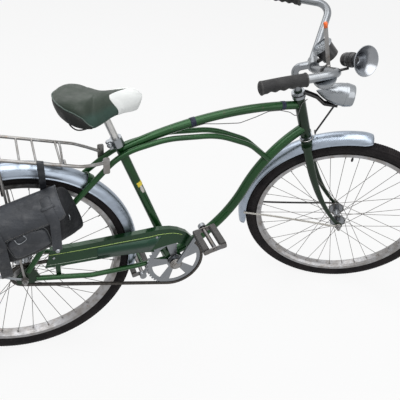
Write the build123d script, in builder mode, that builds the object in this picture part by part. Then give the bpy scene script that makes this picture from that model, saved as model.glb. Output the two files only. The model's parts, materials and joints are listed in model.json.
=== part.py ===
from build123d import *
from math import asin, atan2, cos, degrees, pi, radians, sin, sqrt
import os

os.makedirs("parts", exist_ok=True)

# A middleweight cruiser bicycle. Millimetres, +X forward, +Y to the rider's left, +Z up.
# The origin is on top of the saddle, where the rider sits.

# ---- driving dimensions ---------------------------------------------------------------
# wheels
WHEEL_RADIUS = 330.0
TYRE_WIDTH = 44.0
TYRE_HEIGHT = 40.0
RIM_WIDTH = 34.0
RIM_DEPTH = 17.0
RIM_WALL = 3.0
SPOKE_COUNT = 36
SPOKE_RADIUS = 0.9
SPOKE_OUTBOARD = 3.7
SPOKE_INBOARD = 2.2
SPOKE_SPREAD = 3.0
HUB_FLANGE_RADIUS = 27.0
HUB_HOLE_RADIUS = 23.5
HUB_BORE = 5.2
FLANGE_WALL = 2.0
FRONT_FLANGE = 31.0
FRONT_BARREL = 11.0
FRONT_HUB_REACH = 36.0
REAR_FLANGE = 30.0
REAR_BARREL = 19.0
REAR_HUB_REACH = 38.0
AXLE_RADIUS = 4.76
AXLE_STUD = 10.0
NUT_RADIUS = 9.5
NUT_HEIGHT = 8.0
# frame
WHEELBASE = 1090.0
SADDLE_FROM_REAR_AXLE = 225.0
SADDLE_ABOVE_AXLES = 524.0
BRACKET_X = 460.0
BRACKET_Z = -59.0
CLUSTER_X = 300.0
CLUSTER_Z = 349.0
HEAD_ANGLE = 68.5
FORK_RAKE = 60.0
STEER_REST = -28.5
HEAD_TUBE_RADIUS = 17.0
HEAD_TUBE_BORE = 14.5
HEAD_TUBE_LOW = 375.0
HEAD_TUBE_HIGH = 518.0
TOP_TUBE_RADIUS = 13.0
TOP_TUBE_DROP = 29.0
TOP_TUBE_ARCH = 33.0
DOWN_TUBE_RADIUS = 15.5
DOWN_TUBE_LIFT = 31.0
DOWN_TUBE_SLOPE = 29.5
DOWN_TUBE_KNEE_X = 703.0
DOWN_TUBE_KNEE_Z = 158.0
SEAT_TUBE_RADIUS = 13.5
SIDE_TUBE_RADIUS = 8.0
SIDE_TUBE_GAP = 23.0
CHAINSTAY_RADIUS = 8.0
BRACKET_SHELL_RADIUS = 28.5
BRACKET_SHELL_WIDTH = 68.0
BRACKET_SHELL_WALL = 13.5
DROPOUT_SPACING = 118.0
DROPOUT_PLATE = 5.0
JUNCTION_SHARE = 0.255
SEAT_TUBE_STUB = 16.0
SLIDE_FIT = 0.1
# seat
SEAT_POST_RADIUS = 10.3
POST_DEPTH = 90.0
SADDLE_SOCKET = 44.0
SEAT_CLAMP_WALL = 4.0
SEAT_CLAMP_HEIGHT = 26.0
SADDLE_HALF_WIDTH = 88.0
SADDLE_DEPTH = 64.0
NOSE_SEAM = 42.0
# drive
CHAIN_PITCH = 12.7
CHAINWHEEL_TEETH = 46
COG_TEETH = 18
CHAIN_LINE = 45.0
CRANK_LENGTH = 165.0
CRANK_ANGLE = 64.0
PEDAL_LENGTH = 92.0
# fenders and rack
FENDER_GAP = 22.0
FENDER_HALF_WIDTH = 30.0
FENDER_SKIRT = 14.0
FENDER_WALL = 1.6
STAY_WALL = 2.2
STAY_WIDTH = 9.0
RACK_ABOVE_FENDER = 39.0
RACK_SLOPE = -0.234
RACK_HALF_WIDTH = 65.0
RAIL_RADIUS = 4.5
CROSS_WIRE_RADIUS = 3.0
LEG_RADIUS = 3.5
LEG_EYE = 3.0
# fork and bars
STEERER_RADIUS = 12.7
CROWN_HEIGHT = 12.0
FORK_END_FACE = 57.0
FORK_END_WALL = 5.0
STEM_RISE = 99.0
STEM_REACH = 55.0
STEM_RADIUS = 11.0
STEM_CLAMP_WIDTH = 36.0
STEM_CLAMP_WALL = 5.0
BAR_RADIUS = 11.1
BAR_HALF_WIDTH = 280.0
BAR_BEND_HALF_WIDTH = 200.0
BAR_RISE = 93.0
BAR_SWEEP = 156.0
BAR_FORWARD = 38.0
GRIP_DROP = 25.0
GRIP_RADIUS = 15.0
GRIP_LENGTH = 118.0
LAMP_RADIUS = 34.0
LAMP_LENGTH = 84.0

# ---- places worked out from them ------------------------------------------------------
RIM_SEAT_RADIUS = WHEEL_RADIUS - TYRE_HEIGHT
RIM_INNER_RADIUS = RIM_SEAT_RADIUS - RIM_DEPTH
FENDER_CROWN_RADIUS = WHEEL_RADIUS + FENDER_GAP
RACK_HEIGHT = FENDER_CROWN_RADIUS + RACK_ABOVE_FENDER
REAR = Plane(
    origin=(-SADDLE_FROM_REAR_AXLE, 0, -SADDLE_ABOVE_AXLES), x_dir=(1, 0, 0), z_dir=(0, -1, 0)
)


def at(frame, forward, left, up):
    """The point so far forward, left and up of a frame's origin, which lies on an axle."""
    return frame.from_local_coords(Vector(forward, up, -left))


def direction(frame, forward, left, up):
    return at(frame, forward, left, up) - frame.origin


# the steering axis leans back; the fork holds the front axle ahead of it by the rake
AXIS_LEAN = direction(REAR, -cos(radians(HEAD_ANGLE)), 0, sin(radians(HEAD_ANGLE)))
AXIS_FOOT = at(
    REAR,
    WHEELBASE - FORK_RAKE * sin(radians(HEAD_ANGLE)),
    0,
    -FORK_RAKE * cos(radians(HEAD_ANGLE)),
)


def turned(vector):
    return vector.rotate(Axis((0, 0, 0), AXIS_LEAN), STEER_REST)


# FRONT is the plane of the front wheel, turned about the steering axis
FRONT_ORIGIN = AXIS_FOOT + turned(at(REAR, WHEELBASE, 0, 0) - AXIS_FOOT)
FRONT = Plane(
    origin=FRONT_ORIGIN, x_dir=turned(Vector(1, 0, 0)), z_dir=turned(Vector(0, -1, 0))
)
# HEAD stands on the foot of the steering axis: X to the right, Y ahead, Z up the axis
HEAD = Plane(origin=AXIS_FOOT, x_dir=turned(Vector(0, -1, 0)), z_dir=AXIS_LEAN)


def head_point(ahead, left, up_axis):
    """A point of the steered parts, ahead of the steering axis and so far up it."""
    return HEAD.from_local_coords(Vector(-left, ahead, up_axis))


STEM_CLAMP = head_point(STEM_REACH, 0, HEAD_TUBE_HIGH + STEM_RISE)


def from_stem(forward, left, up):
    """A point of what the handlebar carries, level and square to the steered wheel."""
    return STEM_CLAMP + direction(FRONT, forward, left, up)


def across(frame, left):
    """The frame's plane moved sideways to the left."""
    return frame.offset(-left)


def axle_axis(frame):
    return Axis(frame.origin, frame.z_dir)


def radial_plane(frame, angle):
    """A plane through an axle: its X runs to the right, its Y outward at the angle."""
    outward = direction(frame, cos(radians(angle)), 0, sin(radians(angle)))
    right = direction(frame, 0, -1, 0)
    return Plane(origin=frame.origin, x_dir=right, z_dir=right.cross(outward))


def polar(frame, radius, angle, left):
    """A point at a radius and angle about an axle, so far left of its middle."""
    return at(frame, radius * cos(radians(angle)), left, radius * sin(radians(angle)))


def between(start, end, share, rise=0.0):
    """A point part of the way from start to end, lifted by a rise."""
    return start + (end - start) * share + Vector(0, 0, rise)


def rod(points, radius, corner_radii):
    """A round bar along straight runs joined by arcs."""
    with BuildPart() as bar:
        with BuildLine() as path:
            if corner_radii:
                FilletPolyline(*points, radius=corner_radii)
            else:
                Line(*points)
        with BuildSketch(Plane(origin=path.line @ 0, z_dir=path.line % 0)):
            Circle(radius)
        sweep()
    return bar.part


def largest(part):
    """What a coped tube keeps once the offcuts inside its neighbours are dropped."""
    return part.solids().sort_by(SortBy.VOLUME)[-1]


def write(builder, name):
    builder.part.label = name
    export_step(builder.part, f"parts/{name}.step")


# ---- wheels ---------------------------------------------------------------------------
def make_tyre(frame, name):
    """A tyre's section in flats: bead, two flats a side and the tread."""
    half = TYRE_WIDTH / 2
    bead = RIM_WIDTH / 2 - RIM_WALL
    with BuildPart() as tyre:
        with BuildSketch(radial_plane(frame, 90)):
            with BuildLine():
                Polyline(
                    (-bead, RIM_SEAT_RADIUS),
                    (bead, RIM_SEAT_RADIUS),
                    (half, RIM_SEAT_RADIUS + TYRE_HEIGHT * 0.42),
                    (half * 0.80, RIM_SEAT_RADIUS + TYRE_HEIGHT * 0.82),
                    (half * 0.34, WHEEL_RADIUS),
                    (-half * 0.34, WHEEL_RADIUS),
                    (-half * 0.80, RIM_SEAT_RADIUS + TYRE_HEIGHT * 0.82),
                    (-half, RIM_SEAT_RADIUS + TYRE_HEIGHT * 0.42),
                    close=True,
                )
            make_face()
        revolve(axis=axle_axis(frame))
    write(tyre, name)


def make_rim(frame, name):
    half = RIM_WIDTH / 2
    well = half * 0.55
    shoulder = RIM_INNER_RADIUS + RIM_DEPTH * 0.35
    with BuildPart() as rim:
        with BuildSketch(radial_plane(frame, 90)):
            with BuildLine():
                Polyline(
                    (-well, RIM_INNER_RADIUS),
                    (well, RIM_INNER_RADIUS),
                    (half, shoulder),
                    (half, RIM_SEAT_RADIUS),
                    (-half, RIM_SEAT_RADIUS),
                    (-half, shoulder),
                    close=True,
                )
            make_face()
        revolve(axis=axle_axis(frame))
    write(rim, name)


def make_hub(frame, name, flange, barrel, reach):
    with BuildPart() as hub:
        with BuildSketch(across(frame, reach)):
            Circle(barrel)
            Circle(HUB_BORE, mode=Mode.SUBTRACT)
        extrude(amount=2 * reach)
        for side in (-1, 1):
            with BuildSketch(across(frame, side * flange + FLANGE_WALL / 2)):
                Circle(HUB_FLANGE_RADIUS)
                Circle(barrel - 1, mode=Mode.SUBTRACT)
            extrude(amount=FLANGE_WALL)
    write(hub, name)


def make_spokes(frame, name, flange):
    """Laced four-cross: half the spokes of each flange lead, half trail."""
    per_side = SPOKE_COUNT // 2
    pitch = 360 / per_side
    lead = 82
    nipple = RIM_INNER_RADIUS - 0.2
    with BuildPart() as spokes:
        for side in (-1, 1):
            for index in range(per_side):
                trail = 1 if index % 2 else -1
                rim_angle = index * pitch + (side + 1) * pitch / 4
                hub_angle = rim_angle + trail * lead
                shift = SPOKE_OUTBOARD if trail == side else SPOKE_INBOARD
                start = polar(frame, HUB_HOLE_RADIUS, hub_angle, side * flange + trail * shift)
                end = polar(frame, nipple, rim_angle, side * SPOKE_SPREAD)
                run = end - start
                with BuildSketch(Plane(origin=start, z_dir=run)):
                    Circle(SPOKE_RADIUS)
                extrude(amount=run.length)
    write(spokes, name)


def make_axle(frame, name, nut_face):
    """A threaded axle with a nut outside each fork end and a stud beyond it."""
    half_length = nut_face + NUT_HEIGHT + AXLE_STUD
    with BuildPart() as axle:
        with BuildSketch(across(frame, half_length)):
            Circle(AXLE_RADIUS)
        extrude(amount=2 * half_length)
        for side in (-1, 1):
            outer = nut_face + NUT_HEIGHT if side > 0 else -nut_face
            with BuildSketch(across(frame, outer)):
                RegularPolygon(NUT_RADIUS, 6)
            extrude(amount=NUT_HEIGHT)
    write(axle, name)


DROPOUT_FACE = DROPOUT_SPACING / 2 + DROPOUT_PLATE
REAR_NUT_FACE = DROPOUT_FACE + STAY_WALL + LEG_EYE
FRONT_NUT_FACE = FORK_END_FACE + STAY_WALL
for wheel, place, flange_at, barrel_radius, hub_reach, nuts in (
    ("rear", REAR, REAR_FLANGE, REAR_BARREL, REAR_HUB_REACH, REAR_NUT_FACE),
    ("front", FRONT, FRONT_FLANGE, FRONT_BARREL, FRONT_HUB_REACH, FRONT_NUT_FACE),
):
    make_tyre(place, f"{wheel}_tyre")
    make_rim(place, f"{wheel}_rim")
    make_hub(place, f"{wheel}_hub", flange_at, barrel_radius, hub_reach)
    make_spokes(place, f"{wheel}_spokes", flange_at)
    make_axle(place, f"{wheel}_axle", nuts)

# ---- crank, chainwheel, cog and chain -------------------------------------------------
CHAINWHEEL_RADIUS = CHAIN_PITCH / (2 * sin(pi / CHAINWHEEL_TEETH))
COG_RADIUS = CHAIN_PITCH / (2 * sin(pi / COG_TEETH))
TOOTH_RISE = 1.8
TOOTH_DROP = 3.6
SPROCKET_WALL = 2.6
CHAIN_PLATE = 1.2
CHAIN_INNER_WIDTH = 4.6
CHAIN_HALF_HEIGHT = 4.3
CHAIN_GAP = 0.5
SPROCKET_FACE = -CHAIN_LINE + SPROCKET_WALL / 2
CRANK = Plane(origin=at(REAR, BRACKET_X, 0, BRACKET_Z), x_dir=REAR.x_dir, z_dir=REAR.z_dir)


def sprocket_outline(teeth, pitch_radius):
    """Teeth as flat-topped ridges, two points at each foot and two at each tip."""
    foot = pitch_radius - TOOTH_DROP
    tip = pitch_radius + TOOTH_RISE
    points = []
    for index in range(teeth):
        for turn, radius in ((0.0, foot), (0.22, foot), (0.46, tip), (0.76, tip)):
            angle = (index + turn) * 2 * pi / teeth
            points.append((radius * cos(angle), radius * sin(angle)))
    return points


SPINDLE_RADIUS = 10.0
ARM_COUNT = 5
RING_RADIUS = CHAINWHEEL_RADIUS - 17.0
HUB_DISC_RADIUS = 26.0
ARM_ROOT_WIDTH = 17.0
ARM_TIP_WIDTH = 36.0
with BuildPart() as chainwheel:
    with BuildSketch(across(CRANK, SPROCKET_FACE)):
        with BuildLine():
            Polyline(*sprocket_outline(CHAINWHEEL_TEETH, CHAINWHEEL_RADIUS), close=True)
        make_face()
        Circle(RING_RADIUS, mode=Mode.SUBTRACT)
        Circle(HUB_DISC_RADIUS)
        # the crank's arm lies midway between two of the wheel's arms
        for index in range(ARM_COUNT):
            turn = CRANK_ANGLE + (index + 0.5) * 360 / ARM_COUNT
            root = HUB_DISC_RADIUS - 6
            tip = RING_RADIUS + 4
            corners = (
                (root, -ARM_ROOT_WIDTH / 2),
                (tip, -ARM_TIP_WIDTH / 2),
                (tip, ARM_TIP_WIDTH / 2),
                (root, ARM_ROOT_WIDTH / 2),
            )
            with BuildLine():
                Polyline(*[Vector(*corner).rotate(Axis.Z, turn) for corner in corners], close=True)
            make_face()
        Circle(SPINDLE_RADIUS + 2.5, mode=Mode.SUBTRACT)
    extrude(amount=SPROCKET_WALL)
write(chainwheel, "chainwheel")

# one-piece crank: spindle through the bracket, an arm at each end turned the other way
CRANK_ROD_RADIUS = 7.0
RIGHT_ARM_INNER = 67.0
LEFT_ARM_INNER = 62.0
ARM_FLARE = 10.0
CRANK_BEND = 20.0
EYE_RADIUS = 12.0
EYE_WIDTH = 14.0
RIGHT_EYE = -RIGHT_ARM_INNER - ARM_FLARE
LEFT_EYE = LEFT_ARM_INNER + ARM_FLARE
BEND_OFFSET = 4.0


def crank_point(reach, left, side):
    return polar(CRANK, side * reach, CRANK_ANGLE, left)


with BuildPart() as crank:
    with BuildLine() as crank_line:
        FilletPolyline(
            crank_point(CRANK_LENGTH - EYE_RADIUS / 2, RIGHT_EYE, 1),
            crank_point(BEND_OFFSET, -RIGHT_ARM_INNER, 1),
            crank_point(BEND_OFFSET, LEFT_ARM_INNER, -1),
            crank_point(CRANK_LENGTH - EYE_RADIUS / 2, LEFT_EYE, -1),
            radius=CRANK_BEND,
        )
    with BuildSketch(Plane(origin=crank_line.line @ 0, z_dir=crank_line.line % 0)):
        Circle(CRANK_ROD_RADIUS)
    sweep()
    for side, middle in ((1, RIGHT_EYE), (-1, LEFT_EYE)):
        eye_plane = Plane(
            origin=crank_point(CRANK_LENGTH, middle, side), x_dir=CRANK.x_dir, z_dir=CRANK.z_dir
        )
        with BuildSketch(eye_plane.offset(-EYE_WIDTH / 2)):
            Circle(EYE_RADIUS)
        extrude(amount=EYE_WIDTH)
    # the flange that drives the chainwheel, and the cones of the bracket's bearings
    with BuildSketch(across(CRANK, SPROCKET_FACE - SPROCKET_WALL)):
        Circle(HUB_DISC_RADIUS - 8)
    extrude(amount=4)
    for face in (-BRACKET_SHELL_WIDTH / 2 - 0.6, BRACKET_SHELL_WIDTH / 2 + 6.6):
        with BuildSketch(across(CRANK, face)):
            Circle(HUB_DISC_RADIUS - 4)
        extrude(amount=6)
write(crank, "crank")

# pedals: an axle sleeve with two end plates and two rubber blocks
PEDAL_SLEEVE_RADIUS = 6.5
PEDAL_BLOCK_REACH = 27.0
PEDAL_BLOCK_DEPTH = 19.0
PEDAL_BLOCK_HEIGHT = 24.0
PEDAL_BLOCK_ROUND = 4.0
PEDAL_PLATE = 3.0
PEDAL_PLATE_HEIGHT = 16.0
PEDAL_COLLAR = 8.0
PEDAL_END_CAP = 5.0
PEDAL_GAP = 0.6


def make_pedal(side, name, eye_face, pitch):
    centre = crank_point(CRANK_LENGTH, 0, side)
    level = direction(REAR, cos(radians(pitch)), 0, sin(radians(pitch)))
    eye = Plane(origin=centre, x_dir=level, z_dir=REAR.z_dir)
    start = eye_face + PEDAL_GAP
    inner = start + PEDAL_COLLAR
    outer = inner + PEDAL_LENGTH

    def slab(near, far):
        """The plane and the height of a slab between two distances from the middle."""
        return eye.offset(side * near), side * (far - near)

    with BuildPart() as frame_part:
        plane, height = slab(start, outer + PEDAL_END_CAP)
        with BuildSketch(plane):
            Circle(PEDAL_SLEEVE_RADIUS)
        extrude(amount=height)
        for near, far in ((inner - PEDAL_PLATE, inner), (outer, outer + PEDAL_PLATE)):
            plane, height = slab(near, far)
            with BuildSketch(plane):
                SlotOverall(2 * PEDAL_BLOCK_REACH + PEDAL_BLOCK_DEPTH, PEDAL_PLATE_HEIGHT)
            extrude(amount=height)
    write(frame_part, f"{name}_frame")
    with BuildPart() as blocks:
        plane, height = slab(inner, outer)
        with BuildSketch(plane):
            with Locations((-PEDAL_BLOCK_REACH, 0), (PEDAL_BLOCK_REACH, 0)):
                RectangleRounded(PEDAL_BLOCK_DEPTH, PEDAL_BLOCK_HEIGHT, PEDAL_BLOCK_ROUND)
        extrude(amount=height)
    write(blocks, f"{name}_blocks")


make_pedal(1, "pedal_right", -RIGHT_EYE + EYE_WIDTH / 2, 14.0)
make_pedal(-1, "pedal_left", LEFT_EYE + EYE_WIDTH / 2, 10.0)

with BuildPart() as cog:
    with BuildSketch(across(REAR, SPROCKET_FACE)):
        with BuildLine():
            Polyline(*sprocket_outline(COG_TEETH, COG_RADIUS), close=True)
        make_face()
        Circle(REAR_BARREL, mode=Mode.SUBTRACT)
    extrude(amount=SPROCKET_WALL)
    with BuildSketch(across(REAR, SPROCKET_FACE)):
        Circle(REAR_BARREL + 3)
        Circle(HUB_BORE, mode=Mode.SUBTRACT)
    extrude(amount=-(-SPROCKET_FACE - REAR_HUB_REACH))
write(cog, "rear_cog")

# the chain: two side plates run each side of the teeth, joined by rollers on its straights
DRIVE_SPAN = sqrt(BRACKET_X ** 2 + BRACKET_Z ** 2)
DRIVE = Plane(
    origin=REAR.origin,
    x_dir=direction(REAR, BRACKET_X, 0, BRACKET_Z),
    z_dir=REAR.z_dir,
)
TANGENT = 90 + degrees(asin((CHAINWHEEL_RADIUS - COG_RADIUS) / DRIVE_SPAN))
CHAIN_ARCS = (
    (DRIVE_SPAN, CHAINWHEEL_RADIUS, -TANGENT, TANGENT),
    (0, COG_RADIUS, TANGENT, 360 - TANGENT),
)


def chain_outline(grow):
    """The loop round both sprockets in straights of one link, grown or shrunk."""
    points = []
    for centre_x, radius, first, last in CHAIN_ARCS:
        links = round(radians(last - first) * radius / CHAIN_PITCH)
        for index in range(links + 1):
            angle = radians(first + (last - first) * index / links)
            points.append((centre_x + (radius + grow) * cos(angle), (radius + grow) * sin(angle)))
    return points


ROLLER_WIDTH = 4.4
CHAIN_OUTER_FACE = -CHAIN_LINE + CHAIN_INNER_WIDTH / 2 + CHAIN_PLATE
CHAIN_INNER_FACE = -CHAIN_LINE - CHAIN_INNER_WIDTH / 2
TIP_CLEARANCE = TOOTH_RISE + ROLLER_WIDTH * 0.71 + CHAIN_GAP
LINK_COUNT = int(DRIVE_SPAN / CHAIN_PITCH)
with BuildPart() as chain:
    for plate_face in (CHAIN_OUTER_FACE, CHAIN_INNER_FACE):
        with BuildSketch(across(DRIVE, plate_face)):
            with BuildLine():
                Polyline(*chain_outline(CHAIN_HALF_HEIGHT), close=True)
            make_face()
            with BuildLine():
                Polyline(*chain_outline(-CHAIN_HALF_HEIGHT), close=True)
            make_face(mode=Mode.SUBTRACT)
        extrude(amount=CHAIN_PLATE)
    rollers = []
    for side in (-1, 1):
        foot = Vector(COG_RADIUS, 0).rotate(Axis.Z, side * TANGENT)
        along = Vector(0, -side).rotate(Axis.Z, side * TANGENT)
        for index in range(LINK_COUNT):
            centre = foot + along * (index + 0.5) * CHAIN_PITCH
            from_wheel = (centre - Vector(DRIVE_SPAN, 0)).length
            if (
                centre.length > COG_RADIUS + TIP_CLEARANCE
                and from_wheel > CHAINWHEEL_RADIUS + TIP_CLEARANCE
            ):
                rollers.append(centre)
    with BuildSketch(across(DRIVE, -CHAIN_LINE + CHAIN_INNER_WIDTH / 2)):
        with Locations(*rollers):
            Rectangle(ROLLER_WIDTH, ROLLER_WIDTH)
    extrude(amount=CHAIN_INNER_WIDTH)
write(chain, "chain")

# ---- frame ----------------------------------------------------------------------------
SEAT_CLUSTER = at(REAR, CLUSTER_X, 0, CLUSTER_Z)
BRACKET_POINT = at(REAR, BRACKET_X, 0, BRACKET_Z)
SEAT_LEAN = (SEAT_CLUSTER - BRACKET_POINT).normalized()
SEAT = Plane(origin=BRACKET_POINT, x_dir=(0, -1, 0), z_dir=SEAT_LEAN)
SEAT_TUBE_LENGTH = (SEAT_CLUSTER - BRACKET_POINT).length + SEAT_TUBE_STUB

with BuildPart() as head_tube:
    with BuildSketch(HEAD.offset(HEAD_TUBE_LOW)):
        Circle(HEAD_TUBE_RADIUS)
        Circle(HEAD_TUBE_BORE, mode=Mode.SUBTRACT)
    extrude(amount=HEAD_TUBE_HIGH - HEAD_TUBE_LOW)
write(head_tube, "head_tube")

with BuildPart() as head_core:
    with BuildSketch(HEAD.offset(HEAD_TUBE_LOW - HEAD_TUBE_RADIUS)):
        Circle(HEAD_TUBE_RADIUS)
    extrude(amount=HEAD_TUBE_HIGH - HEAD_TUBE_LOW + 2 * HEAD_TUBE_RADIUS)

with BuildPart() as bracket_shell:
    with BuildSketch(across(CRANK, BRACKET_SHELL_WIDTH / 2)):
        Circle(BRACKET_SHELL_RADIUS)
        Circle(BRACKET_SHELL_RADIUS - BRACKET_SHELL_WALL, mode=Mode.SUBTRACT)
    extrude(amount=BRACKET_SHELL_WIDTH)
write(bracket_shell, "bottom_bracket_shell")

with BuildPart() as shell_core:
    with BuildSketch(across(CRANK, BRACKET_SHELL_WIDTH)):
        Circle(BRACKET_SHELL_RADIUS)
    extrude(amount=2 * BRACKET_SHELL_WIDTH)

with BuildPart() as seat_tube:
    with BuildSketch(SEAT):
        Circle(SEAT_TUBE_RADIUS)
    extrude(amount=SEAT_TUBE_LENGTH)
    with BuildSketch(SEAT.offset(SEAT_TUBE_LENGTH - POST_DEPTH)):
        Circle(SEAT_POST_RADIUS + SLIDE_FIT)
    extrude(amount=POST_DEPTH, mode=Mode.SUBTRACT)
    add(shell_core.part, mode=Mode.SUBTRACT)
write(seat_tube, "seat_tube")

with BuildPart() as seat_core:
    with BuildSketch(SEAT):
        Circle(SEAT_TUBE_RADIUS)
    extrude(amount=SEAT_TUBE_LENGTH + SEAT_CLAMP_HEIGHT)

# the top tube is one long gentle arch
TOP_TUBE_END = head_point(0, 0, HEAD_TUBE_HIGH - TOP_TUBE_DROP)
top_run = (TOP_TUBE_END - SEAT_CLUSTER).normalized()
top_square = top_run.cross(Vector(0, 1, 0))
top_middle = (SEAT_CLUSTER + TOP_TUBE_END) / 2 + top_square * TOP_TUBE_ARCH
with BuildPart() as top_tube:
    with BuildLine() as top_line:
        ThreePointArc(SEAT_CLUSTER, top_middle, TOP_TUBE_END)
    with BuildSketch(Plane(origin=top_line.line @ 0, z_dir=top_line.line % 0)):
        Circle(TOP_TUBE_RADIUS)
    sweep()
    add(head_core.part, mode=Mode.SUBTRACT)
    add(seat_core.part, mode=Mode.SUBTRACT)
write(top_tube, "top_tube")

# the down tube leaves the head tube bowed forward and sweeps back under to the bracket
with BuildPart() as down_tube:
    with BuildLine() as down_line:
        fall = TangentArc(
            head_point(0, 0, HEAD_TUBE_LOW + DOWN_TUBE_LIFT),
            at(REAR, DOWN_TUBE_KNEE_X, 0, DOWN_TUBE_KNEE_Z),
            tangent=direction(
                REAR, -cos(radians(DOWN_TUBE_SLOPE)), 0, -sin(radians(DOWN_TUBE_SLOPE))
            ),
        )
        TangentArc(
            fall @ 1,
            at(REAR, BRACKET_X + BRACKET_SHELL_RADIUS / 2, 0, BRACKET_Z + 5),
            tangent=fall % 1,
        )
    with BuildSketch(Plane(origin=down_line.line @ 0, z_dir=down_line.line % 0)):
        Circle(DOWN_TUBE_RADIUS)
    sweep()
    add(head_core.part, mode=Mode.SUBTRACT)
    add(shell_core.part, mode=Mode.SUBTRACT)
    add(seat_core.part, mode=Mode.SUBTRACT)
down_tube.part = largest(down_tube.part)
write(down_tube, "down_tube")

# fork end plates that carry the rear axle
DROPOUT_CORNERS = ((-22, -16), (24, -20), (44, -2), (34, 22), (14, 36), (-4, 30), (-24, 6))
with BuildPart() as dropouts:
    for side in (-1, 1):
        with BuildSketch(across(REAR, side * DROPOUT_SPACING / 2)):
            with BuildLine():
                Polyline(*DROPOUT_CORNERS, close=True)
            make_face()
            Circle(AXLE_RADIUS + SLIDE_FIT, mode=Mode.SUBTRACT)
        extrude(amount=-side * DROPOUT_PLATE)
write(dropouts, "rear_fork_ends")

# each side tube runs from the rear fork end past the seat cluster and on to the down tube
END_CENTRE = DROPOUT_SPACING / 2 + DROPOUT_PLATE / 2
JUNCTION = down_line.line @ JUNCTION_SHARE
side_tubes = {}
for side, name in ((-1, "right"), (1, "left")):
    foot = at(REAR, 12, side * END_CENTRE, 24)
    cluster = at(REAR, CLUSTER_X - 6, side * SIDE_TUBE_GAP, CLUSTER_Z)
    flare = between(foot, cluster, 0.454, 40)
    flare.Y = side * (SIDE_TUBE_GAP + 26)
    bow = []
    for share, rise, gap in ((0.27, 53, -2), (0.6, 76, -3), (0.84, 51, -5)):
        point = between(SEAT_CLUSTER, JUNCTION, share, rise)
        point.Y = side * (SIDE_TUBE_GAP + gap)
        bow.append(point)
    landing = Vector(JUNCTION.X, side * (SIDE_TUBE_GAP - 11), JUNCTION.Z)
    with BuildPart() as side_tube:
        with BuildLine() as side_line:
            FilletPolyline(
                foot, flare, cluster, *bow, landing, radius=[150, 200, 300, 250, 150]
            )
        with BuildSketch(Plane(origin=side_line.line @ 0, z_dir=side_line.line % 0)):
            Circle(SIDE_TUBE_RADIUS)
        sweep()
        add(down_tube.part, mode=Mode.SUBTRACT)
        add(seat_core.part, mode=Mode.SUBTRACT)
        add(top_tube.part, mode=Mode.SUBTRACT)
        add(dropouts.part, mode=Mode.SUBTRACT)
    side_tube.part = largest(side_tube.part)
    side_tubes[name] = side_tube
write(side_tubes["right"], "side_tube_right")

# a brazed bridge arches over the rear fender between the side tubes
BRIDGE_ANGLE = 52.5
BRIDGE_HALF = 1.6
BRIDGE_INNER = FENDER_HALF_WIDTH + 0.5
BRIDGE_WALL = 1.8
with BuildPart() as bridge:
    with BuildSketch(radial_plane(REAR, BRIDGE_ANGLE - BRIDGE_HALF)):
        spring = FENDER_CROWN_RADIUS - FENDER_HALF_WIDTH
        with Locations((0, spring)):
            Circle(BRIDGE_INNER + BRIDGE_WALL)
            Circle(BRIDGE_INNER, mode=Mode.SUBTRACT)
        with Locations((0, spring - BRIDGE_INNER)):
            Rectangle(3 * BRIDGE_INNER, 2 * BRIDGE_INNER, mode=Mode.SUBTRACT)
    revolve(axis=axle_axis(REAR), revolution_arc=2 * BRIDGE_HALF)
    add(side_tubes["left"].part)
    add(side_tubes["right"].part, mode=Mode.SUBTRACT)
bridge.part = largest(bridge.part)
write(bridge, "side_tube_left")

chainstays = {}
for side, name in ((-1, "right"), (1, "left")):
    with BuildPart() as chainstay:
        with BuildLine() as stay_line:
            FilletPolyline(
                at(REAR, 30, side * END_CENTRE, -6),
                at(REAR, 190, side * (END_CENTRE - 5.5), -40),
                at(REAR, BRACKET_X - 130, side * (FENDER_HALF_WIDTH + 8), BRACKET_Z + 5),
                at(REAR, BRACKET_X - 14, side * 22, BRACKET_Z - 1),
                radius=150,
            )
        with BuildSketch(Plane(origin=stay_line.line @ 0, z_dir=stay_line.line % 0)):
            Circle(CHAINSTAY_RADIUS)
        sweep()
        add(shell_core.part, mode=Mode.SUBTRACT)
        add(dropouts.part, mode=Mode.SUBTRACT)
    chainstays[name] = chainstay
write(chainstays["right"], "chainstay_right")

CHAINSTAY_BRIDGE_RADIUS = 6.0
with BuildPart() as stay_bridge:
    with BuildSketch(across(REAR, FENDER_HALF_WIDTH + 5)):
        with Locations((FENDER_CROWN_RADIUS + 2, BRACKET_Z + 2)):
            Circle(CHAINSTAY_BRIDGE_RADIUS)
    extrude(amount=2 * FENDER_HALF_WIDTH + 10)
    add(chainstays["left"].part)
    add(chainstays["right"].part, mode=Mode.SUBTRACT)
stay_bridge.part = largest(stay_bridge.part)
write(stay_bridge, "chainstay_left")

# ---- seat -----------------------------------------------------------------------------
post_start = SEAT.offset(SEAT_TUBE_LENGTH - POST_DEPTH)
post_length = (-SADDLE_SOCKET - post_start.origin.Z) / SEAT_LEAN.Z
with BuildPart() as seat_post:
    with BuildSketch(post_start):
        Circle(SEAT_POST_RADIUS)
    extrude(amount=post_length)
write(seat_post, "seat_post")

with BuildPart() as seat_clamp:
    with BuildSketch(SEAT.offset(SEAT_TUBE_LENGTH)):
        Circle(SEAT_TUBE_RADIUS + SEAT_CLAMP_WALL)
        with Locations((0, -SEAT_TUBE_RADIUS - SEAT_CLAMP_WALL)):
            Rectangle(SEAT_TUBE_RADIUS, SEAT_TUBE_RADIUS + SEAT_CLAMP_WALL)
        Circle(SEAT_POST_RADIUS + SLIDE_FIT, mode=Mode.SUBTRACT)
    extrude(amount=SEAT_CLAMP_HEIGHT)
write(seat_clamp, "seat_clamp")

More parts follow.
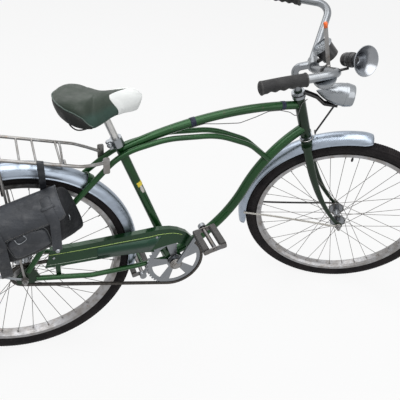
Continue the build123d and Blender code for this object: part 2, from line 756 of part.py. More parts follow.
# the saddle: its plan, its side view and its crowned section meet in one cushion
SADDLE_PLAN = (
    (-94, 0), (-86, 40), (-60, 74), (-30, 87), (-4, 83), (22, 60), (56, 36), (100, 26), (131, 0)
)
SADDLE_TOP = (
    (-96, -8), (-60, 2), (0, 0), (50, -4), (96, 7), (122, 2), (132, -16)
)
SADDLE_UNDERSIDE = (
    (118, -38), (96, -46), (63, -50), (40, -60), (-20, -60), (-60, -48), (-96, -28)
)
SADDLE_EDGE_DROP = 34.0
with BuildPart() as saddle:
    with BuildSketch(Plane.XY.offset(-SADDLE_DEPTH)):
        with BuildLine():
            Spline(*SADDLE_PLAN, tangents=((0, 1), (0, -1)))
            Spline(*[(x, -y) for x, y in reversed(SADDLE_PLAN)], tangents=((0, -1), (0, 1)))
        make_face()
    extrude(amount=2 * SADDLE_DEPTH)
    with BuildSketch(Plane.XZ.offset(-SADDLE_HALF_WIDTH)):
        with BuildLine():
            rim_line = Polyline(SADDLE_TOP[-1], *SADDLE_UNDERSIDE, SADDLE_TOP[0])
            Spline(*SADDLE_TOP)
        make_face()
    extrude(amount=2 * SADDLE_HALF_WIDTH, mode=Mode.INTERSECT)
    with BuildSketch(Plane.YZ.offset(-2 * SADDLE_HALF_WIDTH)):
        with BuildLine():
            crown = ThreePointArc(
                (-SADDLE_HALF_WIDTH, -SADDLE_EDGE_DROP), (0, 9), (SADDLE_HALF_WIDTH, -SADDLE_EDGE_DROP)
            )
            Polyline(
                crown @ 1,
                (SADDLE_HALF_WIDTH, -SADDLE_DEPTH),
                (-SADDLE_HALF_WIDTH, -SADDLE_DEPTH),
                crown @ 0,
            )
        make_face()
    extrude(amount=4 * SADDLE_HALF_WIDTH, mode=Mode.INTERSECT)
    with BuildSketch(SEAT):
        Circle(SEAT_POST_RADIUS + SLIDE_FIT)
    extrude(amount=post_length + SEAT_TUBE_LENGTH - POST_DEPTH + SLIDE_FIT, mode=Mode.SUBTRACT)
with BuildPart() as front_box:
    with BuildSketch(Plane.XY.offset(-2 * SADDLE_DEPTH)):
        with Locations((NOSE_SEAM + SADDLE_HALF_WIDTH, 0)):
            Rectangle(2 * SADDLE_HALF_WIDTH, 2 * SADDLE_HALF_WIDTH)
    extrude(amount=4 * SADDLE_DEPTH)
with BuildPart() as saddle_cover:
    add(saddle.part)
    add(front_box.part, mode=Mode.SUBTRACT)
write(saddle_cover, "saddle_cover")
with BuildPart() as saddle_nose:
    add(saddle.part)
    add(front_box.part, mode=Mode.INTERSECT)
write(saddle_nose, "saddle_nose_cover")

# under the rear of the saddle a rounded block carries a wire loop
BASE_HALF_WIDTH = 26.0
BASE_WIRE_RADIUS = 2.0
with BuildPart() as saddle_base:
    with BuildSketch(Plane.XZ.offset(-BASE_HALF_WIDTH)):
        with BuildLine():
            base_bottom = ThreePointArc((-66, -66), (-43, -92), (-18, -74))
            Polyline(base_bottom @ 1, (-12, -40), (-66, -40), base_bottom @ 0)
        make_face()
    extrude(amount=2 * BASE_HALF_WIDTH)
    with BuildLine() as loop_line:
        FilletPolyline(
            (-60, 0, -70), (-58, 0, -100), (-43, 0, -107), (-24, 0, -97), (-22, 0, -76), radius=6
        )
    with BuildSketch(Plane(origin=loop_line.line @ 0, z_dir=loop_line.line % 0)):
        Circle(BASE_WIRE_RADIUS)
    sweep()
    add(saddle.part, mode=Mode.SUBTRACT)
saddle_base.part = largest(saddle_base.part)
write(saddle_base, "saddle_base")

# ---- fenders --------------------------------------------------------------------------
def make_fender(frame, name, first, last, plate):
    """A rounded crown with straight skirts, one wall thick, swept about the axle."""
    outer = FENDER_HALF_WIDTH
    inner = outer - FENDER_WALL
    spring = FENDER_CROWN_RADIUS - outer
    skirt = spring - FENDER_SKIRT
    crown = FENDER_CROWN_RADIUS
    with BuildPart() as fender:
        with BuildSketch(radial_plane(frame, first)):
            with BuildLine():
                Line((-outer, skirt), (-outer, spring))
                ThreePointArc((-outer, spring), (0, crown), (outer, spring))
                Polyline((outer, spring), (outer, skirt), (inner, skirt), (inner, spring))
                ThreePointArc((inner, spring), (0, crown - FENDER_WALL), (-inner, spring))
                Polyline((-inner, spring), (-inner, skirt), (-outer, skirt))
            make_face()
        revolve(axis=axle_axis(frame), revolution_arc=last - first)
        if plate:
            with BuildSketch(HEAD.offset(plate[0])):
                with Locations((0, plate[2])):
                    Rectangle(*plate[3])
            extrude(amount=plate[1] - plate[0])
    write(fender, name)


# the front fender hangs from a plate that stands ahead of the fork crown
PLATE_WALL = 2.0
PLATE_AHEAD = HEAD_TUBE_RADIUS + 9.5
PLATE_FOOT = sqrt(FENDER_CROWN_RADIUS ** 2 - (FORK_RAKE - PLATE_AHEAD) ** 2) - 2
PLATE_TOP = HEAD_TUBE_LOW + 13
front_plate = (PLATE_FOOT, PLATE_TOP, PLATE_AHEAD, (2 * FENDER_HALF_WIDTH / 3, PLATE_WALL))
make_fender(REAR, "rear_fender", -14, 186, None)
make_fender(FRONT, "front_fender", 81, 198, front_plate)


def make_stays(frame, name, angle, face):
    """A flat strap a side, from an eye on the axle out to the fender's skirt."""
    skirt = FENDER_CROWN_RADIUS - FENDER_HALF_WIDTH - FENDER_SKIRT / 2
    with BuildPart() as stays:
        for side in (-1, 1):
            with BuildSketch(across(frame, side * face)):
                Circle(NUT_RADIUS + 0.5)
            extrude(amount=-side * STAY_WALL)
            far = side * (face + STAY_WALL / 2)
            near = side * (FENDER_HALF_WIDTH + STAY_WALL / 2)
            with BuildLine() as strap_line:
                FilletPolyline(
                    polar(frame, 0, angle, far),
                    polar(frame, 30, angle, far),
                    polar(frame, skirt - 16, angle, near),
                    polar(frame, skirt + 3, angle, near),
                    radius=12,
                )
            square = Plane(
                origin=strap_line.line @ 0,
                x_dir=direction(frame, 0, 1, 0),
                z_dir=strap_line.line % 0,
            )
            with BuildSketch(square):
                Rectangle(STAY_WALL, STAY_WIDTH)
            sweep()
            with BuildSketch(across(frame, side * (face - STAY_WALL))):
                Circle(AXLE_RADIUS + SLIDE_FIT)
            extrude(amount=-side * 3 * STAY_WALL, mode=Mode.SUBTRACT)
    write(stays, name)


make_stays(REAR, "rear_fender_stays", 160, DROPOUT_FACE)
make_stays(FRONT, "front_fender_stays", 185, FORK_END_FACE)

# ---- fork and bars --------------------------------------------------------------------
CROWN_SEAT = HEAD_TUBE_LOW - CROWN_HEIGHT
CROWN_BOTTOM = CROWN_SEAT - CROWN_HEIGHT
CUP_RADIUS = HEAD_TUBE_RADIUS + 3.5
CUP_HEIGHT = 9.0
LOCK_SEAT = HEAD_TUBE_HIGH + CUP_HEIGHT + 0.6
LOCK_RING_HEIGHT = 9.4
STEERER_TOP = LOCK_SEAT + 2.5 + LOCK_RING_HEIGHT + 4.0
# each blade: how far up the axis, ahead of it and sideways, then its two half-widths
BLADE_STATIONS = (
    (CROWN_SEAT - 2, 0, 43, 13.0, 9.0),
    (CROWN_SEAT - 110, 2, 46, 12.5, 8.5),
    (CROWN_SEAT - 230, 16, 50, 9.5, 7.0),
    (18, FORK_RAKE - 8, 54, 7.0, 5.5),
)
BLADE_SLOPES = (0.0, 4.0, 12.0, 28.0)
with BuildPart() as fork:
    with BuildSketch(HEAD.offset(CROWN_SEAT)):
        Circle(STEERER_RADIUS)
    extrude(amount=STEERER_TOP - CROWN_SEAT)
    with BuildSketch(HEAD.offset(CROWN_BOTTOM)):
        SlotOverall(110, 34)
    extrude(amount=CROWN_HEIGHT)
    boss = Plane(
        origin=head_point(STEERER_RADIUS, 0, CROWN_BOTTOM + CROWN_HEIGHT / 2),
        x_dir=HEAD.x_dir,
        z_dir=HEAD.y_dir,
    )
    with BuildSketch(boss):
        Circle(CROWN_HEIGHT / 2)
    extrude(amount=PLATE_AHEAD - PLATE_WALL / 2 - STEERER_RADIUS)
    for side in (-1, 1):
        for (up, ahead, out, deep, thick), slope in zip(BLADE_STATIONS, BLADE_SLOPES):
            level = Plane(
                origin=head_point(ahead, side * out, up), x_dir=HEAD.x_dir, z_dir=HEAD.z_dir
            )
            with BuildSketch(level.rotated((slope, 0, 0))):
                Ellipse(thick, deep)
        loft()
        with BuildSketch(across(FRONT, side * (FORK_END_FACE - FORK_END_WALL))):
            Circle(NUT_RADIUS + 4)
            with BuildLine():
                tip = FRONT.to_local_coords(head_point(FORK_RAKE - 8, 0, 22))
                back = FRONT.to_local_coords(head_point(FORK_RAKE - 12, 0, 22))
                Polyline((-12, 0), (back.X, back.Y), (tip.X, tip.Y), (9, 9), close=True)
            make_face()
            Circle(AXLE_RADIUS + SLIDE_FIT, mode=Mode.SUBTRACT)
        extrude(amount=-side * FORK_END_WALL)
write(fork, "fork")

with BuildPart() as stem:
    with BuildLine() as neck:
        FilletPolyline(
            head_point(0, 0, STEERER_TOP),
            head_point(0, 0, HEAD_TUBE_HIGH + STEM_RISE),
            STEM_CLAMP,
            radius=20,
        )
    with BuildSketch(Plane(origin=neck.line @ 0, z_dir=neck.line % 0)):
        Circle(STEM_RADIUS)
    sweep()
    clamp_plane = Plane(
        origin=from_stem(0, STEM_CLAMP_WIDTH / 2, 0), x_dir=FRONT.x_dir, z_dir=FRONT.z_dir
    )
    with BuildSketch(clamp_plane):
        Circle(BAR_RADIUS + STEM_CLAMP_WALL)
    extrude(amount=STEM_CLAMP_WIDTH)
    with BuildSketch(clamp_plane):
        Circle(BAR_RADIUS + SLIDE_FIT)
    extrude(amount=STEM_CLAMP_WIDTH, mode=Mode.SUBTRACT)
write(stem, "stem")

# the bar rises from the clamp to a bend each side and sweeps back to the grips
bar_right = [
    from_stem(-BAR_SWEEP, -BAR_HALF_WIDTH, BAR_RISE - GRIP_DROP),
    from_stem(BAR_FORWARD, -BAR_BEND_HALF_WIDTH, BAR_RISE),
    from_stem(0, -30, 0),
]
bar_left = [
    from_stem(0, 30, 0),
    from_stem(BAR_FORWARD, BAR_BEND_HALF_WIDTH, BAR_RISE),
    from_stem(-BAR_SWEEP, BAR_HALF_WIDTH, BAR_RISE - GRIP_DROP),
]
with BuildPart() as handlebar:
    add(rod(bar_right + bar_left, BAR_RADIUS, [48, 30, 30, 48]))
write(handlebar, "handlebar")

GRIP_CAP = 4.0
GRIP_NOTCH_DEPTH = 2.0
GRIP_NOTCHES = 5
with BuildPart() as grips:
    for end, bend in ((bar_right[0], bar_right[1]), (bar_left[2], bar_left[1])):
        inward = (bend - end).normalized()
        side_view = Plane(origin=end, x_dir=inward, z_dir=inward.cross(Vector(0, 0, 1)))
        with BuildSketch(side_view):
            with BuildLine():
                pitch = (GRIP_LENGTH - 2 * GRIP_CAP) / GRIP_NOTCHES
                start = (-GRIP_CAP, GRIP_RADIUS)
                for index in range(GRIP_NOTCHES):
                    ridge = index * pitch + GRIP_CAP
                    Line(start, (ridge, GRIP_RADIUS))
                    dip = (ridge + pitch / 2, GRIP_RADIUS - GRIP_NOTCH_DEPTH)
                    ThreePointArc((ridge, GRIP_RADIUS), dip, (ridge + pitch - 1, GRIP_RADIUS))
                    start = (ridge + pitch - 1, GRIP_RADIUS)
                Polyline(
                    start,
                    (GRIP_LENGTH, GRIP_RADIUS + 2),
                    (GRIP_LENGTH, 0),
                    (-GRIP_CAP, 0),
                    (-GRIP_CAP, GRIP_RADIUS),
                )
            make_face()
        revolve(axis=Axis(end, inward))
    for end, bend in ((bar_right[0], bar_right[1]), (bar_left[2], bar_left[1])):
        with BuildSketch(Plane(origin=end, z_dir=bend - end)):
            Circle(BAR_RADIUS + SLIDE_FIT)
        extrude(amount=GRIP_LENGTH + GRIP_CAP, mode=Mode.SUBTRACT)
write(grips, "grips")

with BuildPart() as headset:
    for face, height in ((HEAD_TUBE_HIGH, CUP_HEIGHT), (HEAD_TUBE_LOW, -CUP_HEIGHT)):
        with BuildSketch(HEAD.offset(face)):
            Circle(CUP_RADIUS)
            Circle(STEERER_RADIUS + 0.6, mode=Mode.SUBTRACT)
        extrude(amount=height)
write(headset, "headset_cups")

BRACKET_EYE_WALL = 2.5
with BuildPart() as lock_ring:
    with BuildSketch(HEAD.offset(LOCK_SEAT + BRACKET_EYE_WALL)):
        RegularPolygon(CUP_RADIUS, 8)
        Circle(STEERER_RADIUS, mode=Mode.SUBTRACT)
    extrude(amount=LOCK_RING_HEIGHT)
write(lock_ring, "headset_lock_ring")

# bullet headlight: an ogive shell, a stepped rim and the lens behind it
LAMP_BACK = from_stem(29, 0, -83)
LAMP = Plane(origin=LAMP_BACK, x_dir=FRONT.z_dir, z_dir=FRONT.x_dir)
LAMP_SIDE = Plane(origin=LAMP_BACK, x_dir=FRONT.x_dir, z_dir=FRONT.z_dir)
LAMP_RIM_LENGTH = 26.0
LAMP_RIM_WALL = 4.0
OGIVE = (LAMP_LENGTH ** 2 + LAMP_RADIUS ** 2) / (2 * LAMP_RADIUS)
ogive_half = asin(LAMP_LENGTH / OGIVE) / 2
with BuildPart() as headlight:
    with BuildSketch(LAMP_SIDE):
        with BuildLine():
            ThreePointArc(
                (0, 0),
                (
                    LAMP_LENGTH - OGIVE * sin(ogive_half),
                    LAMP_RADIUS - OGIVE + OGIVE * cos(ogive_half),
                ),
                (LAMP_LENGTH, LAMP_RADIUS),
            )
            Polyline((LAMP_LENGTH, LAMP_RADIUS), (LAMP_LENGTH, 0), (0, 0))
        make_face()
    revolve(axis=Axis(LAMP.origin, LAMP.z_dir))
write(headlight, "headlight_shell")
rim_end = LAMP_LENGTH + LAMP_RIM_LENGTH
with BuildPart() as headlight_rim:
    with BuildSketch(LAMP_SIDE):
        with BuildLine():
            Polyline(
                (LAMP_LENGTH, LAMP_RADIUS - LAMP_RIM_WALL),
                (LAMP_LENGTH, LAMP_RADIUS + 1),
                (LAMP_LENGTH + 6, LAMP_RADIUS + 1),
                (rim_end - 4, LAMP_RADIUS - 2),
                (rim_end, LAMP_RADIUS - LAMP_RIM_WALL),
                (rim_end, LAMP_RADIUS - 2 * LAMP_RIM_WALL),
                (rim_end - LAMP_RIM_WALL, LAMP_RADIUS - 2 * LAMP_RIM_WALL),
                close=True,
            )
        make_face()
    revolve(axis=Axis(LAMP.origin, LAMP.z_dir))
write(headlight_rim, "headlight_rim")
lens_edge = LAMP_RADIUS - 2 * LAMP_RIM_WALL - 1
lens_back = rim_end - 18
with BuildPart() as headlight_lens:
    with BuildSketch(LAMP_SIDE):
        with BuildLine():
            Polyline(
                (LAMP_LENGTH, 0),
                (LAMP_LENGTH, lens_edge / 2),
                (lens_back, lens_edge / 2),
                (lens_back, lens_edge),
                (lens_back + 4, lens_edge),
                (lens_back + 7, lens_edge * 0.6),
                (lens_back + 8, 0),
                close=True,
            )
        make_face()
    revolve(axis=Axis(LAMP.origin, LAMP.z_dir))
write(headlight_lens, "headlight_lens")

# an eye on the steerer, a channel under the lamp and a strut down to the fender's plate
CHANNEL_WIDTH = 18.0
CHANNEL_HEIGHT = 7.0
CHANNEL_WALL = 2.0
STRUT_RADIUS = 3.0
eye_plane = HEAD.offset(LOCK_SEAT)
with BuildPart() as lamp_bracket:
    with BuildSketch(eye_plane):
        Circle(CUP_RADIUS + 0.5)
        Circle(STEERER_RADIUS + SLIDE_FIT, mode=Mode.SUBTRACT)
    extrude(amount=BRACKET_EYE_WALL)
    with BuildLine() as arm_line:
        FilletPolyline(
            from_stem(-4, 0, -93),
            from_stem(5, 0, -94),
            from_stem(36, 0, -102),
            from_stem(63, 0, -121),
            from_stem(103, 0, -121),
            radius=12,
        )
    arm_plane = Plane(
        origin=arm_line.line @ 0, x_dir=FRONT.z_dir, z_dir=arm_line.line % 0
    )
    with BuildSketch(arm_plane):
        Rectangle(CHANNEL_WIDTH, CHANNEL_HEIGHT)
        with Locations((0, -CHANNEL_WALL)):
            Rectangle(CHANNEL_WIDTH - 2 * CHANNEL_WALL, CHANNEL_HEIGHT, mode=Mode.SUBTRACT)
    sweep()
    strut_foot = head_point(PLATE_AHEAD + PLATE_WALL / 2 + STRUT_RADIUS, 0, PLATE_TOP - 8)
    strut_head = from_stem(96, 0, -121)
    with BuildSketch(Plane(origin=strut_foot, z_dir=strut_head - strut_foot)):
        Circle(STRUT_RADIUS)
    extrude(amount=(strut_head - strut_foot).length)
    pad = Plane(
        origin=head_point(PLATE_AHEAD + PLATE_WALL / 2, 0, PLATE_TOP - 8),
        x_dir=HEAD.x_dir,
        z_dir=HEAD.y_dir,
    )
    with BuildSketch(pad):
        Rectangle(3 * STRUT_RADIUS, 4 * STRUT_RADIUS)
    extrude(amount=1.5 * STRUT_RADIUS)
    with BuildSketch(eye_plane.offset(-CHANNEL_HEIGHT)):
        Circle(STEERER_RADIUS + SLIDE_FIT)
    extrude(amount=3 * CHANNEL_HEIGHT, mode=Mode.SUBTRACT)
    with BuildSketch(HEAD.offset(HEAD_TUBE_HIGH)):
        Circle(CUP_RADIUS + 0.5)
    extrude(amount=LOCK_SEAT - HEAD_TUBE_HIGH, mode=Mode.SUBTRACT)
    with BuildSketch(eye_plane.offset(BRACKET_EYE_WALL)):
        Circle(CUP_RADIUS + 0.5)
    extrude(amount=LOCK_RING_HEIGHT + 4, mode=Mode.SUBTRACT)
    add(headlight.part, mode=Mode.SUBTRACT)
lamp_bracket.part = largest(lamp_bracket.part)
write(lamp_bracket, "headlight_bracket")

# trumpet horn on the right of the bar
HORN_AXIS = direction(FRONT, 0.69, -0.55, 0.48).normalized()
HORN_LENGTH = 78.0
HORN_BODY_LENGTH = 40.0
HORN_BODY_RADIUS = 18.0
HORN_MOUTH_RADIUS = 38.0
HORN_THROAT_RADIUS = 13.0
HORN_WALL = 2.0
horn_end = from_stem(97, -155, 109.5) - HORN_AXIS * HORN_LENGTH
HORN = Plane(origin=horn_end, z_dir=HORN_AXIS)
HORN_SIDE = Plane(origin=horn_end, x_dir=HORN_AXIS, z_dir=HORN.x_dir)
with BuildPart() as horn_body:
    with BuildSketch(HORN_SIDE):
        with BuildLine():
            ThreePointArc((-4, 0), (0, HORN_BODY_RADIUS * 0.8), (8, HORN_BODY_RADIUS))
            Polyline(
                (8, HORN_BODY_RADIUS),
                (HORN_BODY_LENGTH - 4, HORN_BODY_RADIUS),
                (HORN_BODY_LENGTH, HORN_THROAT_RADIUS + 1),
                (HORN_BODY_LENGTH, 0),
                (-4, 0),
            )
        make_face()
    revolve(axis=Axis(horn_end, HORN_AXIS))
write(horn_body, "horn_body")
# the bell's two faces flare together, a wall apart, and meet in a rolled lip
FLARE_MIDDLE = (HORN_BODY_LENGTH + HORN_LENGTH) / 2 + 5
FLARE_RADIUS = HORN_THROAT_RADIUS + 8
with BuildPart() as horn_trumpet:
    with BuildSketch(HORN_SIDE):
        with BuildLine():
            ThreePointArc(
                (HORN_BODY_LENGTH, HORN_THROAT_RADIUS),
                (FLARE_MIDDLE, FLARE_RADIUS),
                (HORN_LENGTH, HORN_MOUTH_RADIUS),
            )
            Polyline(
                (HORN_LENGTH, HORN_MOUTH_RADIUS),
                (HORN_LENGTH + HORN_WALL, HORN_MOUTH_RADIUS),
                (HORN_LENGTH + HORN_WALL, HORN_MOUTH_RADIUS - HORN_WALL),
            )
            ThreePointArc(
                (HORN_LENGTH + HORN_WALL, HORN_MOUTH_RADIUS - HORN_WALL),
                (FLARE_MIDDLE + HORN_WALL * 0.7, FLARE_RADIUS - HORN_WALL * 0.7),
                (HORN_BODY_LENGTH, HORN_THROAT_RADIUS - HORN_WALL),
            )
            Line(
                (HORN_BODY_LENGTH, HORN_THROAT_RADIUS - HORN_WALL),
                (HORN_BODY_LENGTH, HORN_THROAT_RADIUS),
            )
        make_face()
    revolve(axis=Axis(horn_end, HORN_AXIS))
write(horn_trumpet, "horn_trumpet")


def bar_point(share, side):
    """A point of the bar's rising arm, part of the way from the clamp to the bend."""
    bend = from_stem(BAR_FORWARD, side * BAR_BEND_HALF_WIDTH, BAR_RISE)
    return between(from_stem(0, side * 30, 0), bend, share)


with BuildPart() as horn_arm:
    add(rod([bar_point(0.45, -1), horn_end + HORN_AXIS * HORN_BODY_LENGTH / 2], 3.5, None))
    add(handlebar.part, mode=Mode.SUBTRACT)
    add(horn_body.part, mode=Mode.SUBTRACT)
horn_arm.part = largest(horn_arm.part)
write(horn_arm, "horn_bracket")

# a dial that faces the rider, on a foot that reaches the stem
DIAL_TILT = 50.0
DIAL_RADIUS = 24.0
DIAL_DEPTH = 40.0
dial_normal = direction(FRONT, -sin(radians(DIAL_TILT)), 0, cos(radians(DIAL_TILT)))
dial_back = Plane(origin=from_stem(21, 0, 47) - dial_normal * 26, z_dir=dial_normal)
with BuildPart() as dial:
    with BuildSketch(dial_back):
        Circle(DIAL_RADIUS)
    with BuildSketch(dial_back.offset(DIAL_DEPTH)):
        Circle(DIAL_RADIUS + 3)
    loft()
    add(rod([dial_back.origin + dial_normal * 8, STEM_CLAMP], 6, None))
    add(stem.part, mode=Mode.SUBTRACT)
    add(handlebar.part, mode=Mode.SUBTRACT)
dial.part = largest(dial.part)
write(dial, "speedometer_case")
BEZEL_HEIGHT = 6.0
with BuildPart() as dial_bezel:
    with BuildSketch(dial_back.offset(DIAL_DEPTH)):
        Circle(DIAL_RADIUS + 6)
    with BuildSketch(dial_back.offset(DIAL_DEPTH + BEZEL_HEIGHT)):
        Circle(DIAL_RADIUS + 3.5)
    loft()
    with BuildSketch(dial_back.offset(DIAL_DEPTH + BEZEL_HEIGHT / 2)):
        Circle(DIAL_RADIUS)
    extrude(amount=BEZEL_HEIGHT, mode=Mode.SUBTRACT)
write(dial_bezel, "speedometer_bezel")

# the lever stands on a band about the bar
LEVER_WALL = 3.0
lever_foot = bar_point(0.447, -1) + direction(FRONT, 5, 0, 10)
lever_run = from_stem(-13, -80, 158) - lever_foot
band_plane = Plane(origin=bar_point(0.40, -1), z_dir=bar_point(1, -1) - bar_point(0, -1))
with BuildPart() as lever:
    with BuildSketch(band_plane):
        Circle(BAR_RADIUS + 3)
    extrude(amount=12)
    with BuildSketch(Plane(origin=lever_foot, x_dir=FRONT.x_dir, z_dir=lever_run)):
        Rectangle(10, LEVER_WALL)
    extrude(amount=lever_run.length)
    with BuildSketch(band_plane.offset(-12)):
        Circle(BAR_RADIUS + SLIDE_FIT)
    extrude(amount=36, mode=Mode.SUBTRACT)
    add(horn_arm.part, mode=Mode.SUBTRACT)
lever.part = largest(lever.part)
write(lever, "signal_lever")

# the bell hangs under the right sweep of the bar, flat face up
BELL_RADIUS = 29.0
BELL_DEPTH = 22.0
BELL_DROP = 10.0
BELL_TILT = 14.5
bell_share = (BAR_HALF_WIDTH - 215) / (BAR_HALF_WIDTH - BAR_BEND_HALF_WIDTH)
bell_hold = between(bar_right[0], bar_right[1], bell_share)
bell_down = direction(FRONT, sin(radians(BELL_TILT)), 0, -cos(radians(BELL_TILT)))
bell_top = bell_hold + direction(FRONT, -4, 0, -BELL_DROP)
with BuildPart() as bell:
    with BuildSketch(Plane(origin=bell_top, x_dir=bell_down, z_dir=FRONT.z_dir)):
        with BuildLine():
            ThreePointArc(
                (0, BELL_RADIUS), (BELL_DEPTH * 0.72, BELL_RADIUS * 0.69), (BELL_DEPTH, 0)
            )
            Polyline((BELL_DEPTH, 0), (0, 0), (0, BELL_RADIUS))
        make_face()
    revolve(axis=Axis(bell_top, bell_down))
    with BuildSketch(Plane(origin=bell_hold, z_dir=bell_down)):
        Circle(BAR_RADIUS * 0.6)
    extrude(amount=BELL_DROP + 8)
    add(handlebar.part, mode=Mode.SUBTRACT)
bell.part = largest(bell.part)
write(bell, "bell_dome")

# ---- rack, bag and guard --------------------------------------------------------------
def rail(forward, left):
    """A point of the rack's side rails, which slope down toward the saddle."""
    return at(REAR, forward, left, RACK_HEIGHT + RACK_SLOPE * forward)


RACK_TAIL = -150.0
RACK_TIP = 248.0
RACK_TIP_HALF = 33.5
rack_loop = [
    rail(RACK_TIP, -RACK_TIP_HALF),
    rail(213, -RACK_HALF_WIDTH + 13),
    rail(180, -RACK_HALF_WIDTH),
    rail(RACK_TAIL + 20, -RACK_HALF_WIDTH),
    rail(RACK_TAIL, -RACK_HALF_WIDTH + 20),
    rail(RACK_TAIL, RACK_HALF_WIDTH - 20),
    rail(RACK_TAIL + 20, RACK_HALF_WIDTH),
    rail(180, RACK_HALF_WIDTH),
    rail(213, RACK_HALF_WIDTH - 13),
    rail(RACK_TIP, RACK_TIP_HALF),
]
CROSS_WIRES = (-90, -30, 32, 71, 131)
DROPPED_WIRE = 142.0
with BuildPart() as rack:
    add(rod(rack_loop, RAIL_RADIUS, [20, 40, 12, 12, 12, 12, 40, 20]))
    for forward in CROSS_WIRES:
        ends = [rail(forward, -RACK_HALF_WIDTH), rail(forward, RACK_HALF_WIDTH)]
        add(rod(ends, CROSS_WIRE_RADIUS, None))
    # the foremost wire dips in the middle to rest on the fender
    dip = FENDER_CROWN_RADIUS + CROSS_WIRE_RADIUS
    dip_low = at(REAR, DROPPED_WIRE, -14, sqrt(dip ** 2 - DROPPED_WIRE ** 2) + 0.5)
    dip_far = at(REAR, DROPPED_WIRE, 14, sqrt(dip ** 2 - DROPPED_WIRE ** 2) + 0.5)
    dropped = [
        rail(DROPPED_WIRE, -RACK_HALF_WIDTH),
        rail(DROPPED_WIRE, -36),
        dip_low,
        dip_far,
        rail(DROPPED_WIRE, 36),
        rail(DROPPED_WIRE, RACK_HALF_WIDTH),
    ]
    add(rod(dropped, CROSS_WIRE_RADIUS, 8))
write(rack, "rear_rack")

LEG_X = -20.0
with BuildPart() as rack_legs:
    for side in (-1, 1):
        eye_middle = side * (DROPOUT_FACE + STAY_WALL + LEG_EYE / 2)
        leg_end = polar(REAR, 12, 93, eye_middle)
        add(rod([rail(LEG_X, side * RACK_HALF_WIDTH), leg_end], LEG_RADIUS, None))
        with BuildSketch(across(REAR, side * (DROPOUT_FACE + STAY_WALL))):
            Circle(NUT_RADIUS + 0.5)
            with Locations((0, NUT_RADIUS)):
                Rectangle(2 * LEG_RADIUS, 2 * NUT_RADIUS)
        extrude(amount=-side * LEG_EYE)
        with BuildSketch(across(REAR, side * DROPOUT_FACE)):
            Circle(AXLE_RADIUS + SLIDE_FIT)
        extrude(amount=-side * 3 * LEG_EYE, mode=Mode.SUBTRACT)
        # the eye's faces stay flat where the leg is flattened into it
        for face, height in ((DROPOUT_FACE + STAY_WALL, -4), (REAR_NUT_FACE, 4)):
            with BuildSketch(across(REAR, side * face)):
                Circle(2 * NUT_RADIUS)
            extrude(amount=-side * height, mode=Mode.SUBTRACT)
    add(rack.part, mode=Mode.SUBTRACT)
write(rack_legs, "rack_legs")

CLAMP_WALL = 3.0
CLAMP_FACE = RACK_TIP_HALF + RAIL_RADIUS
with BuildPart() as rack_clamp:
    for side in (-1, 1):
        with BuildSketch(across(REAR, side * CLAMP_FACE)):
            with Locations((RACK_TIP + 3, RACK_HEIGHT + RACK_SLOPE * RACK_TIP - 6)):
                RectangleRounded(18, 50, 5)
        extrude(amount=-side * CLAMP_WALL)
    for name in ("left", "right"):
        add(side_tubes[name].part, mode=Mode.SUBTRACT)
    add(rack.part, mode=Mode.SUBTRACT)
write(rack_clamp, "rack_clamp")

# the bag hangs beside the wheel, pitched nose-up, and narrows toward its outer face
BAG_PITCH = 17.0
BAG_RISE = 250.0
BAG_INNER = RACK_HALF_WIDTH + RAIL_RADIUS + 4.5
BAG_WIDTH = 76.0
BAG_BACK = ((-108, 24), (130, 24), (148, 0), (148, -120), (130, -138), (-108, -150))
BAG_FRONT = ((-85, 13), (125, 13), (112, -30), (90, -85), (76, -92), (-85, -100))
bag_plane = Plane(
    origin=at(REAR, 0, -BAG_INNER, BAG_RISE),
    x_dir=direction(REAR, cos(radians(BAG_PITCH)), 0, sin(radians(BAG_PITCH))),
    z_dir=REAR.z_dir,
)
with BuildPart() as bag:
    for plane, corners in ((bag_plane, BAG_BACK), (bag_plane.offset(BAG_WIDTH), BAG_FRONT)):
        with BuildSketch(plane):
            with BuildLine():
                Polyline(*corners, close=True)
            make_face()
            fillet(vertices(), 12)
    loft()
write(bag, "bag_body")

# the chain guard: a pressed plate with a rolled top edge, a clip to the seat tube and a tab
GUARD_TOP = (
    (79, 80), (162, 79.5), (249, 82.5), (339, 85.5), (401, 88.5), (439, 83.5), (465, 74.5),
    (493, 57.5), (518, 27.5), (523, 10.5),
)
GUARD_BOTTOM = (
    (503, -1.5), (461, 23.5), (435, 21.5), (397, 14.5), (371, 8.5), (277, 14.5), (129, 15.5),
    (59, 17.5),
)
GUARD_FACE = CHAIN_LINE + 7.5
GUARD_WALL = 1.5
GUARD_FLANGE = 16.5
CLIP_UP = 62.0
with BuildPart() as guard:
    with BuildSketch(across(REAR, -GUARD_FACE)):
        with BuildLine():
            Polyline(*GUARD_TOP, *GUARD_BOTTOM, close=True)
        make_face()
    extrude(amount=GUARD_WALL)
    with BuildSketch(across(REAR, GUARD_FLANGE - GUARD_FACE)):
        with BuildLine():
            lip = [(x - 0.9, z - 1.3) for x, z in reversed(GUARD_TOP[:-1])]
            Polyline(*GUARD_TOP[:-1], *lip, close=True)
        make_face()
    extrude(amount=GUARD_FLANGE)
    seat_x = BRACKET_X + (CLUSTER_X - BRACKET_X) * (CLIP_UP - BRACKET_Z) / (CLUSTER_Z - BRACKET_Z)
    with BuildSketch(across(REAR, 0)):
        with Locations((seat_x, CLIP_UP)):
            Circle(4)
    extrude(amount=GUARD_FACE)
    with BuildSketch(across(REAR, -GUARD_FACE)):
        with Locations((95, 2)):
            Rectangle(14, 34)
    extrude(amount=GUARD_WALL)
    add(seat_tube.part, mode=Mode.SUBTRACT)
    add(chainstays["right"].part, mode=Mode.SUBTRACT)
    add(side_tubes["right"].part, mode=Mode.SUBTRACT)
guard.part = largest(guard.part)
write(guard, "chain_guard")

# the lamp's wire is taped under the top tube and rises beside the head tube
WIRE_RADIUS = 1.2
WIRE_HUG = (TOP_TUBE_RADIUS + WIRE_RADIUS) * 0.71 + 0.1


